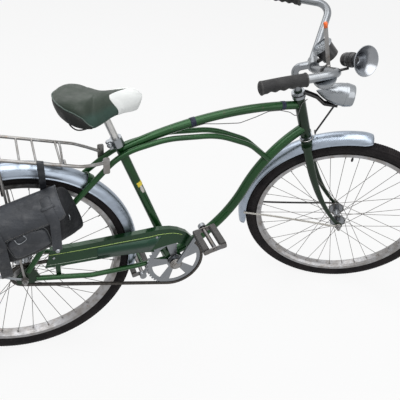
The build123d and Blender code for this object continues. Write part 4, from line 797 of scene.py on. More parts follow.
def tyre_carcass():
    """Section of a balloon tyre, from bead to bead, as (along, radius)."""
    side = [
        (0.0138, SEAT_RADIUS), (0.0150, SEAT_RADIUS + 0.004), (0.0178, SEAT_RADIUS + 0.0085),
        (0.0206, SEAT_RADIUS + 0.0130), (TYRE_HALF, SEAT_RADIUS + 0.0180),
        (0.0217, SEAT_RADIUS + 0.0228), (0.0203, SEAT_RADIUS + 0.0274),
        (0.0188, SEAT_RADIUS + 0.0306), (0.0192, SEAT_RADIUS + 0.0312),
        (0.0172, SEAT_RADIUS + 0.0344), (0.0136, WHEEL_RADIUS - 0.0032),
        (0.0092, WHEEL_RADIUS - 0.0020), (0.0046, WHEEL_RADIUS - TREAD_HEIGHT),
    ]
    right = [(-a, r) for a, r in reversed(side)]
    return side + right


def make_tyre(end, place, body):
    """A carcass closed across its beads, and rows of tread blocks repeated round it."""
    section = tyre_carcass()
    points, faces = lathe(section, ZERO, Y, TYRE_STEPS, start=Z)
    size = len(section)
    for i in range(TYRE_STEPS):
        near, far = i * size, (i + 1) % TYRE_STEPS * size
        faces.append((near, near + size - 1, far + size - 1, far))
    carcass = moved(place, (points, faces))
    tyre = add_piece(f"{end}_tyre_carcass", *carcass, body, "tyre", TYRE)
    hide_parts(f"{end}_tyre")
    blocks = []
    for across, drop, wide in ((0.0, 0.7, 4.4), (0.0062, 1.0, 3.4), (0.0118, 2.3, 3.2)):
        for hand in ((-1, 1) if across else (1,)):
            centre = Vector((0, hand * across, WHEEL_RADIUS - drop / 1000))
            lean = Matrix.Rotation(-hand * across * 28, 3, "X")
            turned = Matrix.Rotation(math.radians(24 * hand), 3, "Z")
            blocks.append(block(
                centre, lean @ turned @ X, lean @ turned @ Y, lean @ Z,
                (0.0052, wide / 1000, 0.0014), 0.1,
            ))
    for hand in (1, -1):
        blocks.append(block(
            Vector((0, hand * 0.0163, WHEEL_RADIUS - 0.0052)), X,
            Vector((0, hand * 0.80, -0.60)), Vector((0, hand * 0.60, 0.80)),
            (0.0030, 0.0046, 0.0012), 0.1,
        ))
    tread = joined(*blocks)
    ring_piece(f"{end}_tyre_tread", tread, TREAD_COUNT, TYRE, place, body, "tyre")


def make_nipples(end, place, body):
    """A spoke nipple and its rim dimple for each spoke, and the tyre valve."""
    profile = [(-0.0004, 0.0), (-0.0004, 0.0030), (0.0018, 0.0027), (0.0022, 0.0019),
               (0.0100, 0.0016), (0.0105, 0.0)]
    spoke_step = Matrix.Rotation(-math.radians(180 / SPOKE_PAIRS), 3, "Y")
    shape = joined(
        lathe(profile, Vector((RIM_INNER_RADIUS, -0.003, 0)), -X, 8),
        lathe(profile, spoke_step @ Vector((RIM_INNER_RADIUS, 0.003, 0)), spoke_step @ -X, 8),
    )
    ring_piece(f"{end}_nipples", shape, SPOKE_PAIRS, STEEL, place, body, "steel", smooth=True)
    at_angle = Matrix.Rotation(math.radians(VALVE_ANGLE), 3, "Y")
    stem = lathe(
        [(-0.002, 0.0), (-0.002, 0.0040), (0.003, 0.0040), (0.004, 0.0030), (0.012, 0.0030),
         (0.013, 0.0038), (0.021, 0.0038), (0.023, 0.0030), (0.023, 0.0)],
        at_angle @ Vector((RIM_INNER_RADIUS, 0, 0)), at_angle @ -X, 14,
    )
    add_piece(f"{end}_valve", *moved(place, stem), body, "rubber", RUBBER)


for end, place, body in (
    ("rear", REAR_PLACE, "rear_wheel"), ("front", FRONT_PLACE, "front_wheel"),
):
    make_tyre(end, place, body)
    make_nipples(end, place, body)


# ---- saddle ---------------------------------------------------------------------------
SADDLE_PLAN = (
    (-94, 0), (-92, 22), (-86, 40), (-75, 60), (-60, 74), (-46, 82), (-30, 86.5), (-16, 87),
    (-4, 83), (10, 72), (22, 60), (38, 46), (56, 37), (78, 32), (100, 30.5), (116, 27),
    (126, 19), (130.5, 9), (131, 0),
)
SADDLE_LINE = ((-96, -7), (-80, -1), (-60, 2), (-30, 1), (0, 0), (25, -2), (50, -3), (75, 2),
               (96, 7), (112, 9), (124, 5), (132, -9))
RIM_HEIGHTS = ((0, -15), (12, -24), (26, -38), (45, -48), (70, -52), (95, -54), (106, -54),
               (112, -46), (119, -31), (130, -20), (150, -12), (180, -6))
SKIRT_FOOT = ((0, -48), (12, -49), (26, -51), (45, -55), (70, -59), (95, -59), (106, -60),
              (119, -60), (130, -57), (150, -48), (180, -38))
SADDLE_CENTRE = 10
SADDLE_TURNS = 144


def read_off(table, at):
    """A value read from a table, on the straight line between two of its rows."""
    if at <= table[0][0]:
        return table[0][1]
    for (a, low), (b, high) in zip(table, table[1:]):
        if at <= b:
            share = (at - a) / (b - a)
            return low + (high - low) * share
    return table[-1][1]


def saddle_reach(angle):
    """How far the saddle's outline lies from its middle, in a direction from the nose."""
    way = Vector((math.cos(angle), math.sin(angle)))
    best = 0.0
    for (ax, ay), (bx, by) in zip(SADDLE_PLAN, SADDLE_PLAN[1:]):
        a = Vector((ax - SADDLE_CENTRE, ay))
        run = Vector((bx - ax, by - ay))
        cross = way.x * run.y - way.y * run.x
        if abs(cross) < 1e-9:
            continue
        share = (a.y * way.x - a.x * way.y) / -cross
        reach = (a.x * run.y - a.y * run.x) / cross
        if -0.001 <= share <= 1.001 and reach > 0:
            best = max(best, reach)
    return best


REACHES = [saddle_reach(math.pi * k / 90) for k in range(91)]
for _ in range(2):
    REACHES = [
        (REACHES[abs(k - 1)] + 2 * REACHES[k] + REACHES[min(k + 1, 90 - (k == 90))]) / 4
        for k in range(91)
    ]


def reach_at(degrees):
    spot = min(degrees / 2, 89.999)
    low = int(spot)
    return REACHES[low] + (REACHES[low + 1] - REACHES[low]) * (spot - low)


def saddle_top(x, y):
    """Height of the padded top over a point of the plan, in millimetres."""
    angle = math.degrees(math.atan2(abs(y), x - SADDLE_CENTRE))
    share = min(math.hypot(x - SADDLE_CENTRE, y) / reach_at(angle), 1.0)
    rim = read_off(RIM_HEIGHTS, angle)
    line = read_off(SADDLE_LINE, x)
    rear = unit((angle - 108) / 22)
    power = 2.7 + 5.0 * rear
    crown = (1 - share ** power) ** (1 / (1.75 + 0.4 * rear))
    lobe = 3.0 * math.exp(-((abs(y) - 44) / 22) ** 2 - ((x + 42) / 34) ** 2)
    return rim + (line - rim) * crown + lobe * crown


def folded(angle):
    """Degrees from the nose, the same on both sides."""
    return abs(math.degrees(math.remainder(angle, math.tau)))


def saddle_polar(angle, reach, height):
    """A point so far from the saddle's middle, at an angle from the nose."""
    return mm(SADDLE_CENTRE + reach * math.cos(angle), reach * math.sin(angle), height)


def skirt_height(degrees, share):
    """Height of the side, from the rim (0) down to its foot (1)."""
    rim, foot = read_off(RIM_HEIGHTS, degrees), read_off(SKIRT_FOOT, degrees)
    return rim + (foot - rim) * share


def near_nose(degrees):
    return max(0, 1 - degrees / 30)


def near_back(degrees):
    return unit((degrees - 104) / 16)


def saddle_ring(share):
    ring = []
    for k in range(SADDLE_TURNS):
        angle = math.tau * k / SADDLE_TURNS
        reach = reach_at(folded(angle)) * share
        x, y = SADDLE_CENTRE + reach * math.cos(angle), reach * math.sin(angle)
        ring.append(mm(x, y, saddle_top(x, y)))
    return ring


def saddle_foot(share, drop):
    """Points of the skirt: share runs from the rim to its foot, drawn in a little."""
    ring = []
    for k in range(SADDLE_TURNS):
        angle = math.tau * k / SADDLE_TURNS
        degrees = folded(angle)
        nose = near_nose(degrees)
        inset = (2 + 16 * nose + 4 * near_back(degrees)) * share ** 1.6 + drop * 5
        height = skirt_height(degrees, share) - drop * 1.5 * (1 - nose)
        ring.append(saddle_polar(angle, reach_at(degrees) - inset, height))
    return ring


SHARES = (0.12, 0.25, 0.38, 0.5, 0.6, 0.69, 0.77, 0.83, 0.88, 0.92, 0.95, 0.972, 0.988, 0.997, 1)


def make_saddle_cover():
    """Foam and vinyl top whose sides turn down; closed by the pan beneath."""
    points = [mm(SADDLE_CENTRE, 0, saddle_top(SADDLE_CENTRE, 0))]
    rings = [saddle_ring(share) for share in SHARES]
    rings += [saddle_foot(share, 0) for share in (0.3, 0.65, 0.9, 1.0)]
    rings.append(saddle_foot(1.0, 1))
    pan = [
        mm(
            SADDLE_CENTRE + (p.x * 1000 - SADDLE_CENTRE) * share, p.y * 1000 * share,
            p.z * 1000 * share - 47 * (1 - share),
        )
        for share in (0.8, 0.5, 0.2) for p in rings[-1]
    ]
    for ring in rings:
        points += ring
    points += pan
    points.append(mm(SADDLE_CENTRE, 0, -46))
    count = len(rings) + 3
    faces = [
        tuple(index + 1 for index in face)
        for face in grid_faces(count, SADDLE_TURNS, wrap_columns=True)
    ]
    last = len(points) - 1
    for k in range(SADDLE_TURNS):
        following = (k + 1) % SADDLE_TURNS
        faces.append((0, 1 + k, 1 + following))
        faces.append((last, last - SADDLE_TURNS + following, last - SADDLE_TURNS + k))
    cover = add_piece("saddle_top", points, faces, "frame", "vinyl_green", SADDLE_GREEN)
    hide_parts("saddle_cover")


def make_saddle_skirt():
    """The dark panel round the back, sewn under the piped edge."""
    first, last = math.radians(106), math.radians(254)
    steps = 90
    shares = (0.02, 0.3, 0.6, 0.9, 1.0)
    points = []
    for i in range(steps + 1):
        angle = first + (last - first) * i / steps
        degrees = folded(angle)
        fade = min(1, min(i, steps - i) / 10)
        for share in shares:
            bulge = 1.2 + 2.0 * math.sin(math.pi * share) * fade
            reach = reach_at(degrees) - (2 + 4 * near_back(degrees)) * share ** 1.6 + bulge
            points.append(saddle_polar(angle, reach, skirt_height(degrees, share) - 0.6))
    faces = grid_faces(steps + 1, len(shares))
    skirt = add_piece("saddle_skirt", points, faces, "frame", "vinyl_green", SADDLE_SKIRT)
    thicken(skirt, 0.0014, -1.0)


def make_saddle_piping():
    """The welt between the top and the dark panel."""
    path = []
    for i in range(91):
        angle = math.radians(104 + 152 * i / 90)
        degrees = folded(angle)
        height = read_off(RIM_HEIGHTS, degrees) + 0.8
        path.append(saddle_polar(angle, reach_at(degrees) + 0.6, height))
    add_piece("saddle_piping", *tube(path, 0.0017, 8), "frame", "vinyl_green", SADDLE_WELT)


NOSE_EDGE = ((60, -35.5), (52, -33), (45, -28), (42.5, -22), (46, -15), (60, -9), (78, -4),
             (92, 0))


def nose_edge(steps):
    """The edge of the nose cover in plan: back round one side, out to a tongue, back."""
    half = [Vector((x, y, 0)) for x, y in NOSE_EDGE]
    whole = half + [Vector((p.x, -p.y, 0)) for p in reversed(half[:-1])]
    fine = smooth_path(whole, 8)
    lengths = [0.0]
    for a, b in zip(fine, fine[1:]):
        lengths.append(lengths[-1] + (b - a).length)
    spots = []
    for k in range(steps):
        target = lengths[-1] * k / (steps - 1)
        i = max(j for j in range(len(fine)) if lengths[j] <= target + 1e-9)
        i = min(i, len(fine) - 2)
        share = (target - lengths[i]) / max(lengths[i + 1] - lengths[i], 1e-9)
        spots.append(fine[i].lerp(fine[i + 1], share))
    return spots


def nose_outline(steps):
    """The saddle's outline about the nose; each spot's third value is its degrees."""
    start = math.degrees(math.atan2(35.5, 50))
    spots = []
    for k in range(steps):
        degrees = -start + 2 * start * k / (steps - 1)
        reach = reach_at(abs(degrees))
        angle = math.radians(degrees)
        spots.append(Vector((SADDLE_CENTRE + reach * math.cos(angle),
                             reach * math.sin(angle), degrees)))
    return spots


def make_nose_cover():
    """White vinyl stretched over the nose, its rear edge cut to a U."""
    steps = 73
    inner, outer = nose_edge(steps), nose_outline(steps)
    rows = []
    lift = 1.8
    for share in (-1, 0, 0.06, 0.2, 0.35, 0.5, 0.63, 0.75, 0.85, 0.92, 0.97, 1.0):
        row = []
        for a, b in zip(inner, outer):
            if share < 0:
                row.append(mm(a.x, a.y, saddle_top(a.x, a.y) - 1.5))
                continue
            x, y = a.x + (b.x - a.x) * share, a.y + (b.y - a.y) * share
            height = saddle_top(x, y)
            out = Vector((x - SADDLE_CENTRE, y)).normalized() * lift * share ** 3
            rise = lift * min(1, 0.35 + share * 8) * (1 - share ** 6)
            row.append(mm(x + out.x, y + out.y, height + rise))
        rows.append(row)
    for share in (0.25, 0.5, 0.75, 0.92, 1.0):
        row = []
        for b in outer:
            degrees = abs(b.z)
            inset = (2 + 10 * near_nose(degrees)) * share ** 1.6 - lift
            reach = reach_at(degrees) - inset
            row.append(saddle_polar(math.radians(b.z), reach, skirt_height(degrees, share)))
        rows.append(row)
    floor = [mm(p.x * 1000 * 0.86 + 11, p.y * 1000 * 0.6, p.z * 1000) for p in rows[-1]]
    rows.append(floor)
    points = [p for row in rows for p in row]
    faces = grid_faces(len(rows), steps)
    cover = add_piece("saddle_nose", points, faces, "frame", "vinyl_white", SADDLE_WHITE)
    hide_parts("saddle_nose_cover")


SADDLE_WELT = saddle_vinyl("saddle_welt", (0.10, 0.13, 0.115), (0.05, 0.07, 0.06), 0.45)
make_saddle_cover()
make_saddle_skirt()
make_saddle_piping()
make_nose_cover()


def make_saddle_base():
    """The dark spring box under the back of the saddle and its wire loops."""
    turns = 24
    shell = []
    for z, grow in ((-44, 0), (-62, 1), (-74, -1), (-80, -6)):
        for k in range(turns):
            along, across = math.cos(math.tau * k / turns), math.sin(math.tau * k / turns)
            x = -40 + (25 + grow) * math.copysign(abs(along) ** 0.6, along)
            y = (24 + grow) * math.copysign(abs(across) ** 0.6, across)
            shell.append(mm(x, y, z))
    faces = grid_faces(4, turns, wrap_columns=True)
    faces += [tuple(range(turns)), tuple(range(3 * turns, 4 * turns))]
    box = add_piece("saddle_spring_box", shell, faces, "frame", "black_paint", BLACK)
    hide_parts("saddle_base")
    for hand in (-1, 1):
        loop = smooth_path([mm(x, hand * y, z) for x, y, z in (
            (-62, 27, -58), (-60, 30, -72), (-44, 32, -86), (-20, 34, -84), (-2, 35, -70),
            (4, 35, -54),
        )], 8)
        name = "saddle_loop_right" if hand < 0 else "saddle_loop_left"
        add_piece(name, *tube(loop, 0.0019, 8), "frame", "black_paint", BLACK)


make_saddle_base()


# ---- bag ------------------------------------------------------------------------------
BAG_PITCH = math.radians(17)
BAG_BACK = ((-108, 24), (130, 24), (148, 0), (148, -120), (130, -138), (-108, -150))
BAG_FRONT = ((-85, 13), (125, 13), (112, -30), (90, -85), (76, -92), (-85, -100))


def add_hide(name, shape, finish=HIDE):
    """A piece of the bag."""
    return add_piece(name, *shape, "frame", "bag_leather", finish)


def bag_point(along, up, out):
    """A point of the bag: along its length, up its back, out from the wheel."""
    return rear_point(
        along * math.cos(BAG_PITCH) - up * math.sin(BAG_PITCH), -74 - out,
        250 + along * math.sin(BAG_PITCH) + up * math.cos(BAG_PITCH),
    )


def rounded(corners, passes=3):
    """A closed outline with its corners cut again and again."""
    loop = [Vector(c) for c in corners]
    for _ in range(passes):
        cut = []
        for a, b in zip(loop, loop[1:] + loop[:1]):
            cut += [a.lerp(b, 0.22), a.lerp(b, 0.78)]
        loop = cut
    return loop


def centre_of(ring):
    return sum(ring, Vector((0, 0))) / len(ring)


def bag_ring(share, inset):
    """Outline of the bag between its back (0) and front (1), drawn in by an inset."""
    corners = [
        (b[0] + (f[0] - b[0]) * share, b[1] + (f[1] - b[1]) * share)
        for b, f in zip(BAG_BACK, BAG_FRONT)
    ]
    ring = rounded(corners)
    middle = centre_of(ring)
    puff = 5 * math.sin(math.pi * unit(share)) - inset
    out = []
    for p in ring:
        way = (p - middle).normalized()
        sag = 5 * max(0, (-60 - p.y) / 60) * math.sin((p.x + 108) / 256 * math.pi)
        out.append((p.x + way.x * puff, p.y + way.y * puff - sag))
    return out


def make_bag_body():
    """Hide shell: back panel, gusset that sags, and a domed front, in hide darkened as painted
    shade.
    """
    rows = []
    for share, inset, out in (
        (0, 40, 1), (0, 3, 1), (0, 0, 4), (0.12, 0, 10), (0.3, 1, 24), (0.5, 3, 39), (0.7, 2, 54),
        (0.88, 0, 67), (0.97, 0, 73), (1, 3, 76), (1, 9, 77.5), (1, 24, 78.5), (1, 42, 79),
    ):
        rows.append([bag_point(u, v, out) for u, v in bag_ring(share, inset)])
    size = len(rows[0])
    points = [p for row in rows for p in row]
    faces = grid_faces(len(rows), size, wrap_columns=True)
    faces += [tuple(range(size)), tuple(range(len(points) - size, len(points)))]
    body = add_hide("bag_shell", (points, faces), SHADED_HIDE)
    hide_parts("bag_body")


FLAP_LINE = ((21, -1), (28, 7), (32, 22), (31.5, 40), (27, 57), (17, 72), (3, 81), (-10, 84.5),
             (-22, 85))
FLAP_ENDS = (-112, 122)
HIDE_THICKNESS = 0.0024


def flap_spot(along, share, lift=0.0):
    """A point of the flap: share runs from the back's top to the hem."""
    near_end = max(0, (along - (FLAP_ENDS[1] - 34)) / 34)
    reach = share * (1 - 0.13 * near_end ** 3)
    line = [Vector((out, up)) for up, out in FLAP_LINE]
    spot = reach * (len(line) - 1)
    low = min(int(spot), len(line) - 2)
    place = curve_point(*led_in(line)[low:low + 4], spot - low)
    wave = noise.noise(Vector((along / 34, share * 3.1, 2.7))) * 2.6 * share
    dip = -1.6 * math.exp(-((along - 88) / 11) ** 2) * max(0, share - 0.45) * 2
    edge = 2.4 * near_end * math.sin(math.pi * min(share * 1.1, 1))
    out = place.x + wave + dip - edge + lift * math.sin(share * 1.7)
    up = place.y + wave * 0.5 - edge * 0.4 + lift * math.cos(share * 1.7) - 3 * share * near_end
    return bag_point(along, up, out)


def make_bag_flap():
    """The hide flap over the top, with its bound edge and its row of stitches."""
    columns, rows = 48, 22
    points = []
    for i in range(columns + 1):
        along = FLAP_ENDS[0] + (FLAP_ENDS[1] - FLAP_ENDS[0]) * i / columns
        points += [flap_spot(along, j / rows) for j in range(rows + 1)]
    flap = add_hide("bag_flap", (points, grid_faces(columns + 1, rows + 1)))
    thicken(flap, HIDE_THICKNESS, 1.0)
    rim = [flap_spot(FLAP_ENDS[1], j / rows, 1.2) for j in range(rows + 1)]
    rim += [
        flap_spot(FLAP_ENDS[1] + (FLAP_ENDS[0] - FLAP_ENDS[1]) * i / columns, 1.0, 1.2)
        for i in range(1, columns + 1)
    ]
    add_hide("bag_flap_edge", tube(rim, 0.0011, 6), WORN_HIDE)
    seam = [
        flap_spot(FLAP_ENDS[1] - 5 - (FLAP_ENDS[1] - FLAP_ENDS[0] - 8) * i / columns, 0.955, 2.6)
        for i in range(columns + 1)
    ]
    stitch_row("bag_flap_stitches", seam, 0.0046, 0.0032, 0.0011, THREAD, "frame", "bag_leather")


def make_bag_pocket():
    """The small front pocket: a puffed block with its piping and a buckle."""
    points = []
    rows = 13
    corners = ((-40, -22), (62, -20), (60, -76), (50, -84), (-30, -90), (-40, -80))
    ring = rounded(corners, 2)
    middle = centre_of(ring)
    for i in range(rows):
        share = i / (rows - 1)
        angle = share * math.pi / 2
        for p in ring:
            spread = 0.12 + 0.88 * math.cos(angle) ** 0.45 if share < 1 else 0.12
            q = middle + (p - middle) * spread
            dent = noise.noise(Vector((q.x / 26, q.y / 22, 5.1))) * 1.8 * share
            points.append(bag_point(q.x, q.y, 77 + 13 * math.sin(angle) ** 0.8 + dent))
    faces = grid_faces(rows, len(ring), wrap_columns=True)
    faces.append(tuple(range(len(points) - len(ring), len(points))))
    add_hide("bag_pocket", (points, faces))
    piping = [bag_point(p.x * 1.03, p.y + (p.y + 55) * 0.03, 78.5) for p in ring]
    add_hide("bag_pocket_piping", tube(piping, 0.0016, 6, closed=True), WORN_HIDE)
    buckle = [bag_point(u, v, 92) for u, v in ((-14, -23), (-10, -39), (12, -33), (10, -20))]
    add_piece("bag_pocket_buckle", *tube(smooth_path(buckle, 3), 0.0011, 6), "frame", "chrome",
              CHROME)


def facings(path, across):
    """Square to a strap's run and to its width, at each point of its path."""
    last = len(path) - 1
    return [
        (path[min(i + 1, last)] - path[max(i - 1, 0)]).normalized().cross(across).normalized()
        for i in range(last + 1)
    ]


def strap(name, middle, width, top_share, foot, slack=0.0):
    """A strap from the flap down over the front of the bag; gives the line it follows."""
    path = [flap_spot(middle, top_share + (1 - top_share) * k / 5, 3.6) for k in range(6)]
    hem = FLAP_LINE[-1][0]
    for up, out in foot:
        path.append(bag_point(middle + slack * (hem - up) / 100, up, out))
    path = smooth_path(path, 4)
    facing = facings(path, Vector((math.cos(BAG_PITCH), 0, math.sin(BAG_PITCH))))
    band = tube(path, 0, flat=(width / 1000, 0.0028), normal=facing)
    add_hide(name, band)
    return path


def make_bag_straps():
    front = strap("bag_strap_front", 90, 25, 0.42,
                  ((-34, 87), (-52, 86), (-74, 84), (-96, 82), (-112, 80)), -30)
    tip = front[-1]
    down = (front[-1] - front[-4]).normalized()
    shape = lathe([(-0.004, 0), (-0.004, 0.0062), (0.003, 0.0066), (0.008, 0.0046), (0.010, 0)],
                  tip, down, 14)
    add_piece("bag_strap_tip", *shape, "frame", "chrome", CHROME)
    strap("bag_strap_back", -52, 30, 0.40,
          ((-36, 88), (-60, 87), (-90, 85), (-118, 80), (-138, 74)), -26)
    for hand, along in (("front", 90), ("back", -52)):
        keeper = [flap_spot(along + k, 0.62, lift) for k, lift in ((-17, 5.2), (0, 7), (17, 5.2))]
        up = (flap_spot(along, 0.55, 5) - flap_spot(along, 0.7, 5)).normalized()
        face = (keeper[2] - keeper[0]).normalized().cross(up)
        band = tube(smooth_path(keeper, 4), 0, flat=(0.008, 0.0022), normal=face)
        add_hide(f"bag_keeper_{hand}", band)
    buckle = [bag_point(u, v, w) for u, v, w in (
        (124, -42, 40), (126, -42, 56), (123, -54, 57), (121, -54, 41),
    )]
    add_piece("bag_side_buckle", *tube(buckle, 0.0013, 6, closed=True), "frame", "chrome", CHROME)


RAIL_RADIUS = 0.0045
RACK_SLOPE = -0.234


def make_hanger_straps():
    """Two straps that hang the bag from the near rail of the rack."""
    for name, forward in (("front", 80), ("back", -95)):
        height = 391 + RACK_SLOPE * forward
        centre = rear_point(forward, -65, height)
        path = [rear_point(forward, -57.5, height - 30), rear_point(forward, -58.5, height - 8)]
        for k in range(9):
            angle = math.radians(-10 + 200 * k / 8)
            path.append(centre + Vector((0, math.cos(angle), math.sin(angle)))
                        * (RAIL_RADIUS + 0.0016))
        bag_top = 275 + 0.3057 * forward
        path += [rear_point(forward, -72, height - 12), rear_point(forward, -73, height - 34),
                 rear_point(forward, -73.5, bag_top - 24)]
        facing = facings(path, Vector((1, 0, RACK_SLOPE)).normalized())
        band = tube(path, 0, flat=(0.017, HIDE_THICKNESS), normal=facing)
        add_hide(f"bag_hanger_{name}", band)


WORN_HIDE = saddle_vinyl("worn_hide", (0.13, 0.135, 0.14), (0.06, 0.062, 0.066), 0.5)
THREAD = saddle_vinyl("waxed_thread", (0.16, 0.15, 0.13), (0.08, 0.075, 0.07), 0.7)
make_bag_body()
make_bag_flap()
make_bag_pocket()
make_bag_straps()
make_hanger_straps()


# ---- frame trim -----------------------------------------------------------------------
GUARD_TOP = ((79, 80), (162, 79.5), (249, 82.5), (339, 85.5), (401, 88.5), (439, 83.5),
             (465, 74.5), (493, 57.5), (518, 27.5), (523, 10.5))
GUARD_BOTTOM = ((59, 17.5), (129, 15.5), (277, 14.5), (371, 8.5), (397, 14.5), (435, 21.5),
                (461, 23.5), (503, -1.5))
GUARD_FACE = -54.25
BAND_THICKNESS = 0.35
TAPE_RADIUS = 0.0137


def ribbon(name, upper, lower, finish):
    """A painted band on the guard between two lines, a hair's breadth thick."""
    outline = [*upper, *lower]
    points = [on_guard(*p, lift) for lift in (0, BAND_THICKNESS) for p in outline]
    count = len(upper)
    base = 2 * count
    faces = []
    for i in range(count - 1):
        faces.append((i, i + 1, count + i + 1, count + i))
        faces.append((base + i, base + count + i, base + count + i + 1, base + i + 1))
        faces.append((i, base + i, base + i + 1, i + 1))
        faces.append((count + i, count + i + 1, base + count + i + 1, base + count + i))
    for i in (0, count - 1):
        faces.append((i, count + i, 3 * count + i, 2 * count + i))
    add_piece(name, points, faces, "frame", "green_paint", finish)


def on_guard(x, z, lift=0.0):
    return rear_point(x, GUARD_FACE - lift, z)


def guard_line(share, first, last, steps=40):
    """A line along the guard, share of the way from its lower edge to its upper one."""
    spots = []
    for k in range(steps + 1):
        x = first + (last - first) * k / steps
        top = read_off(GUARD_TOP, x)
        bottom = read_off(GUARD_BOTTOM, x)
        spots.append((x, bottom + (top - bottom) * share))
    return spots


def make_guard_bands():
    """Two thin lines and a dark band along the guard's face."""
    for name, line, half, finish in (
        ("guard_pinstripe", guard_line(0.74, 72, 478), 0.9, STRIPE),
        ("guard_lower_stripe", guard_line(0.16, 66, 250), 0.6, PALE_STRIPE),
    ):
        ribbon(name, [(x, z + half) for x, z in line], [(x, z - half) for x, z in line], finish)
    upper, lower = guard_line(0.64, 210, 412), guard_line(0.02, 210, 376)
    ribbon("guard_dark_band", upper, lower, BAND_GREEN)


def tube_arc(first, middle, last):
    """Centre and radius of the arc through three points of the frame's plane."""
    (ax, ay), (bx, by), (cx, cy) = first, middle, last
    d = 2 * (ax * (by - cy) + bx * (cy - ay) + cx * (ay - by))
    ux = ((ax ** 2 + ay ** 2) * (by - cy) + (bx ** 2 + by ** 2) * (cy - ay)
          + (cx ** 2 + cy ** 2) * (ay - by)) / d
    uy = ((ax ** 2 + ay ** 2) * (cx - bx) + (bx ** 2 + by ** 2) * (ax - cx)
          + (cx ** 2 + cy ** 2) * (bx - ax)) / d
    return ux, uy, math.hypot(ax - ux, ay - uy)


TOP_ARC = tube_arc((300, 349), (572, 424), (855, 433))


def on_top_tube(x):
    cx, cz, radius = TOP_ARC
    return rear_point(x, 0, cz + math.sqrt(radius ** 2 - (x - cx) ** 2))


def make_tube_tape(name, middle, width):
    """A sleeve of cloth tape round the top tube."""
    steps = 6
    path = [on_top_tube(middle + width * (k / steps - 0.5)) for k in range(steps + 1)]
    add_piece(name, *tube(path, TAPE_RADIUS, 28), "frame", "green_paint", TAPE)


BAND_GREEN = green_enamel("band_green_enamel", (0.004, 0.030, 0.016), (0.010, 0.055, 0.030))
make_guard_bands()
make_tube_tape("top_tube_tape_rear", 507, 15)
make_tube_tape("top_tube_tape_front", 792, 13)


# ---- fenders --------------------------------------------------------------------------
FENDER_HALF = 29
FENDER_WALL = 1.3


def fender_section(crown, depth):
    """Across and radius, from one rolled edge over the crown to the other, then back."""
    outer = []
    for k in range(25):
        angle = math.radians(-90 + 180 * k / 24)
        outer.append((FENDER_HALF * math.sin(angle), crown - depth * (1 - math.cos(angle))))
    narrowed = 1 - FENDER_WALL / FENDER_HALF
    inner = [(a * narrowed, r - FENDER_WALL) for a, r in reversed(outer[1:-1])]
    edge, rim = outer[-1]
    bead = [(edge + a, rim - r) for a, r in ((1.2, 0.6), (1.0, 2.4), (-0.8, 2.8), (-1.8, 1.4))]
    return outer + bead + inner + [(-a, r) for a, r in reversed(bead)]


def make_fender(end, place, body, crown, depth, shift, first, last, taper):
    """A rolled blade with a wired edge; its ends draw in over a short taper."""
    points = []
    steps = round((last - first) / 2)
    for i in range(steps + 1):
        degrees = first + (last - first) * i / steps
        angle = math.radians(degrees)
        near_first = max(0, 1 - (degrees - first) / taper[0])
        near_last = max(0, 1 - (last - degrees) / taper[1])
        close = 0.42 * near_first ** 2 + 0.30 * near_last ** 2
        drop = 5 * near_first ** 2
        for across, radius in fender_section(crown, depth):
            lift = (crown - radius) * close
            r = radius + lift - drop
            points.append(place @ mm(
                shift[0] + r * math.cos(angle), across * (1 - close * 0.4),
                shift[1] + r * math.sin(angle),
            ))
    size = len(fender_section(crown, depth))
    faces = grid_faces(steps + 1, size, wrap_columns=True)
    for base in (0, steps * size):
        ring = list(range(base, base + size))
        for k in range(12):
            faces.append((ring[k], ring[k + 1], ring[-(k + 6) % size], ring[-(k + 5) % size]))
    blade = add_piece(f"{end}_fender_blade", points, faces, body, "chrome", FENDER_STEEL)
    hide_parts(f"{end}_fender")


def make_fender_stays(end, place, body, angle, face, finishes, foot):
    """Flat stays from the axle, crossing the tyre's wall to the fender's edge."""
    node = f"{end}_fender_stays"
    turn = math.radians(angle)
    way = Vector((math.cos(turn), 0, math.sin(turn)))
    for hand, side, finish in ((-1, "right", finishes[0]), (1, "left", finishes[1])):
        across = Vector((0, hand, 0))
        spots = [(0, face + 1.1), (30, face + 1.1), (70, face - 4), (150, face - 13),
                 (235, face - 21), (foot - 28, 32.5), (foot - 8, 31.5), (foot + 4, 31)]
        path = smooth_path([way * r / 1000 + across * a / 1000 for r, a in spots], 4)
        stay = tube(path, 0, flat=(0.0085, 0.0022), normal=across)
        eye = lathe([(-0.0011, 0), (-0.0011, 0.0098), (0.0011, 0.0098), (0.0011, 0)],
                    across * (face + 1.1) / 1000, across, 24)
        rivet = lathe([(0.0008, 0), (0.0008, 0.0030), (0.0022, 0.0026), (0.0030, 0.0014),
                       (0.0032, 0)], path[-4] + across * 0.0003, across, 12)
        shape = moved(place, joined(stay, eye, rivet))
        piece = add_piece(f"{end}_stay_{side}", *shape, body, "chrome", finish)
        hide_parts(node)


make_fender("rear", REAR_PLACE, "frame", 345, 31, (0, 4), -14, 186, (3, 6))
make_fender("front", FRONT_PLACE, "steering", 360, 26, (2, 5.5), 88, 196, (5, 5))
make_fender_stays("rear", REAR_PLACE, "frame", 160, 64, (CHROME, CHROME), 316)
make_fender_stays("front", FRONT_PLACE, "steering", 185, 57, (CREAM, BLACK), 333)


# ---- what the bar carries --------------------------------------------------------------
STEM_CLAMP = head_point(859, 0, 572)
# the bar's half width at the clamp, and its upper bend and end as seen from the clamp
BAR_CLAMP_HALF = 30
BAR_BEND = (38, 200, 93)
BAR_END = (-156, 280, 68)


def bar_spot(forward, left, up):
    return STEM_CLAMP + TURN @ mm(forward, left, up)


def bar_rise(share, side):
    """A point of the bar's rising arm, part of the way from the clamp to the bend."""
    forward, left, up = BAR_BEND
    reach = BAR_CLAMP_HALF + (left - BAR_CLAMP_HALF) * share
    return bar_spot(forward * share, side * reach, up * share)


HORN_WAY = (TURN @ Vector((0.45, -0.78, 0.43))).normalized()
HORN_MOUTH = bar_spot(97, -155, 109.5)


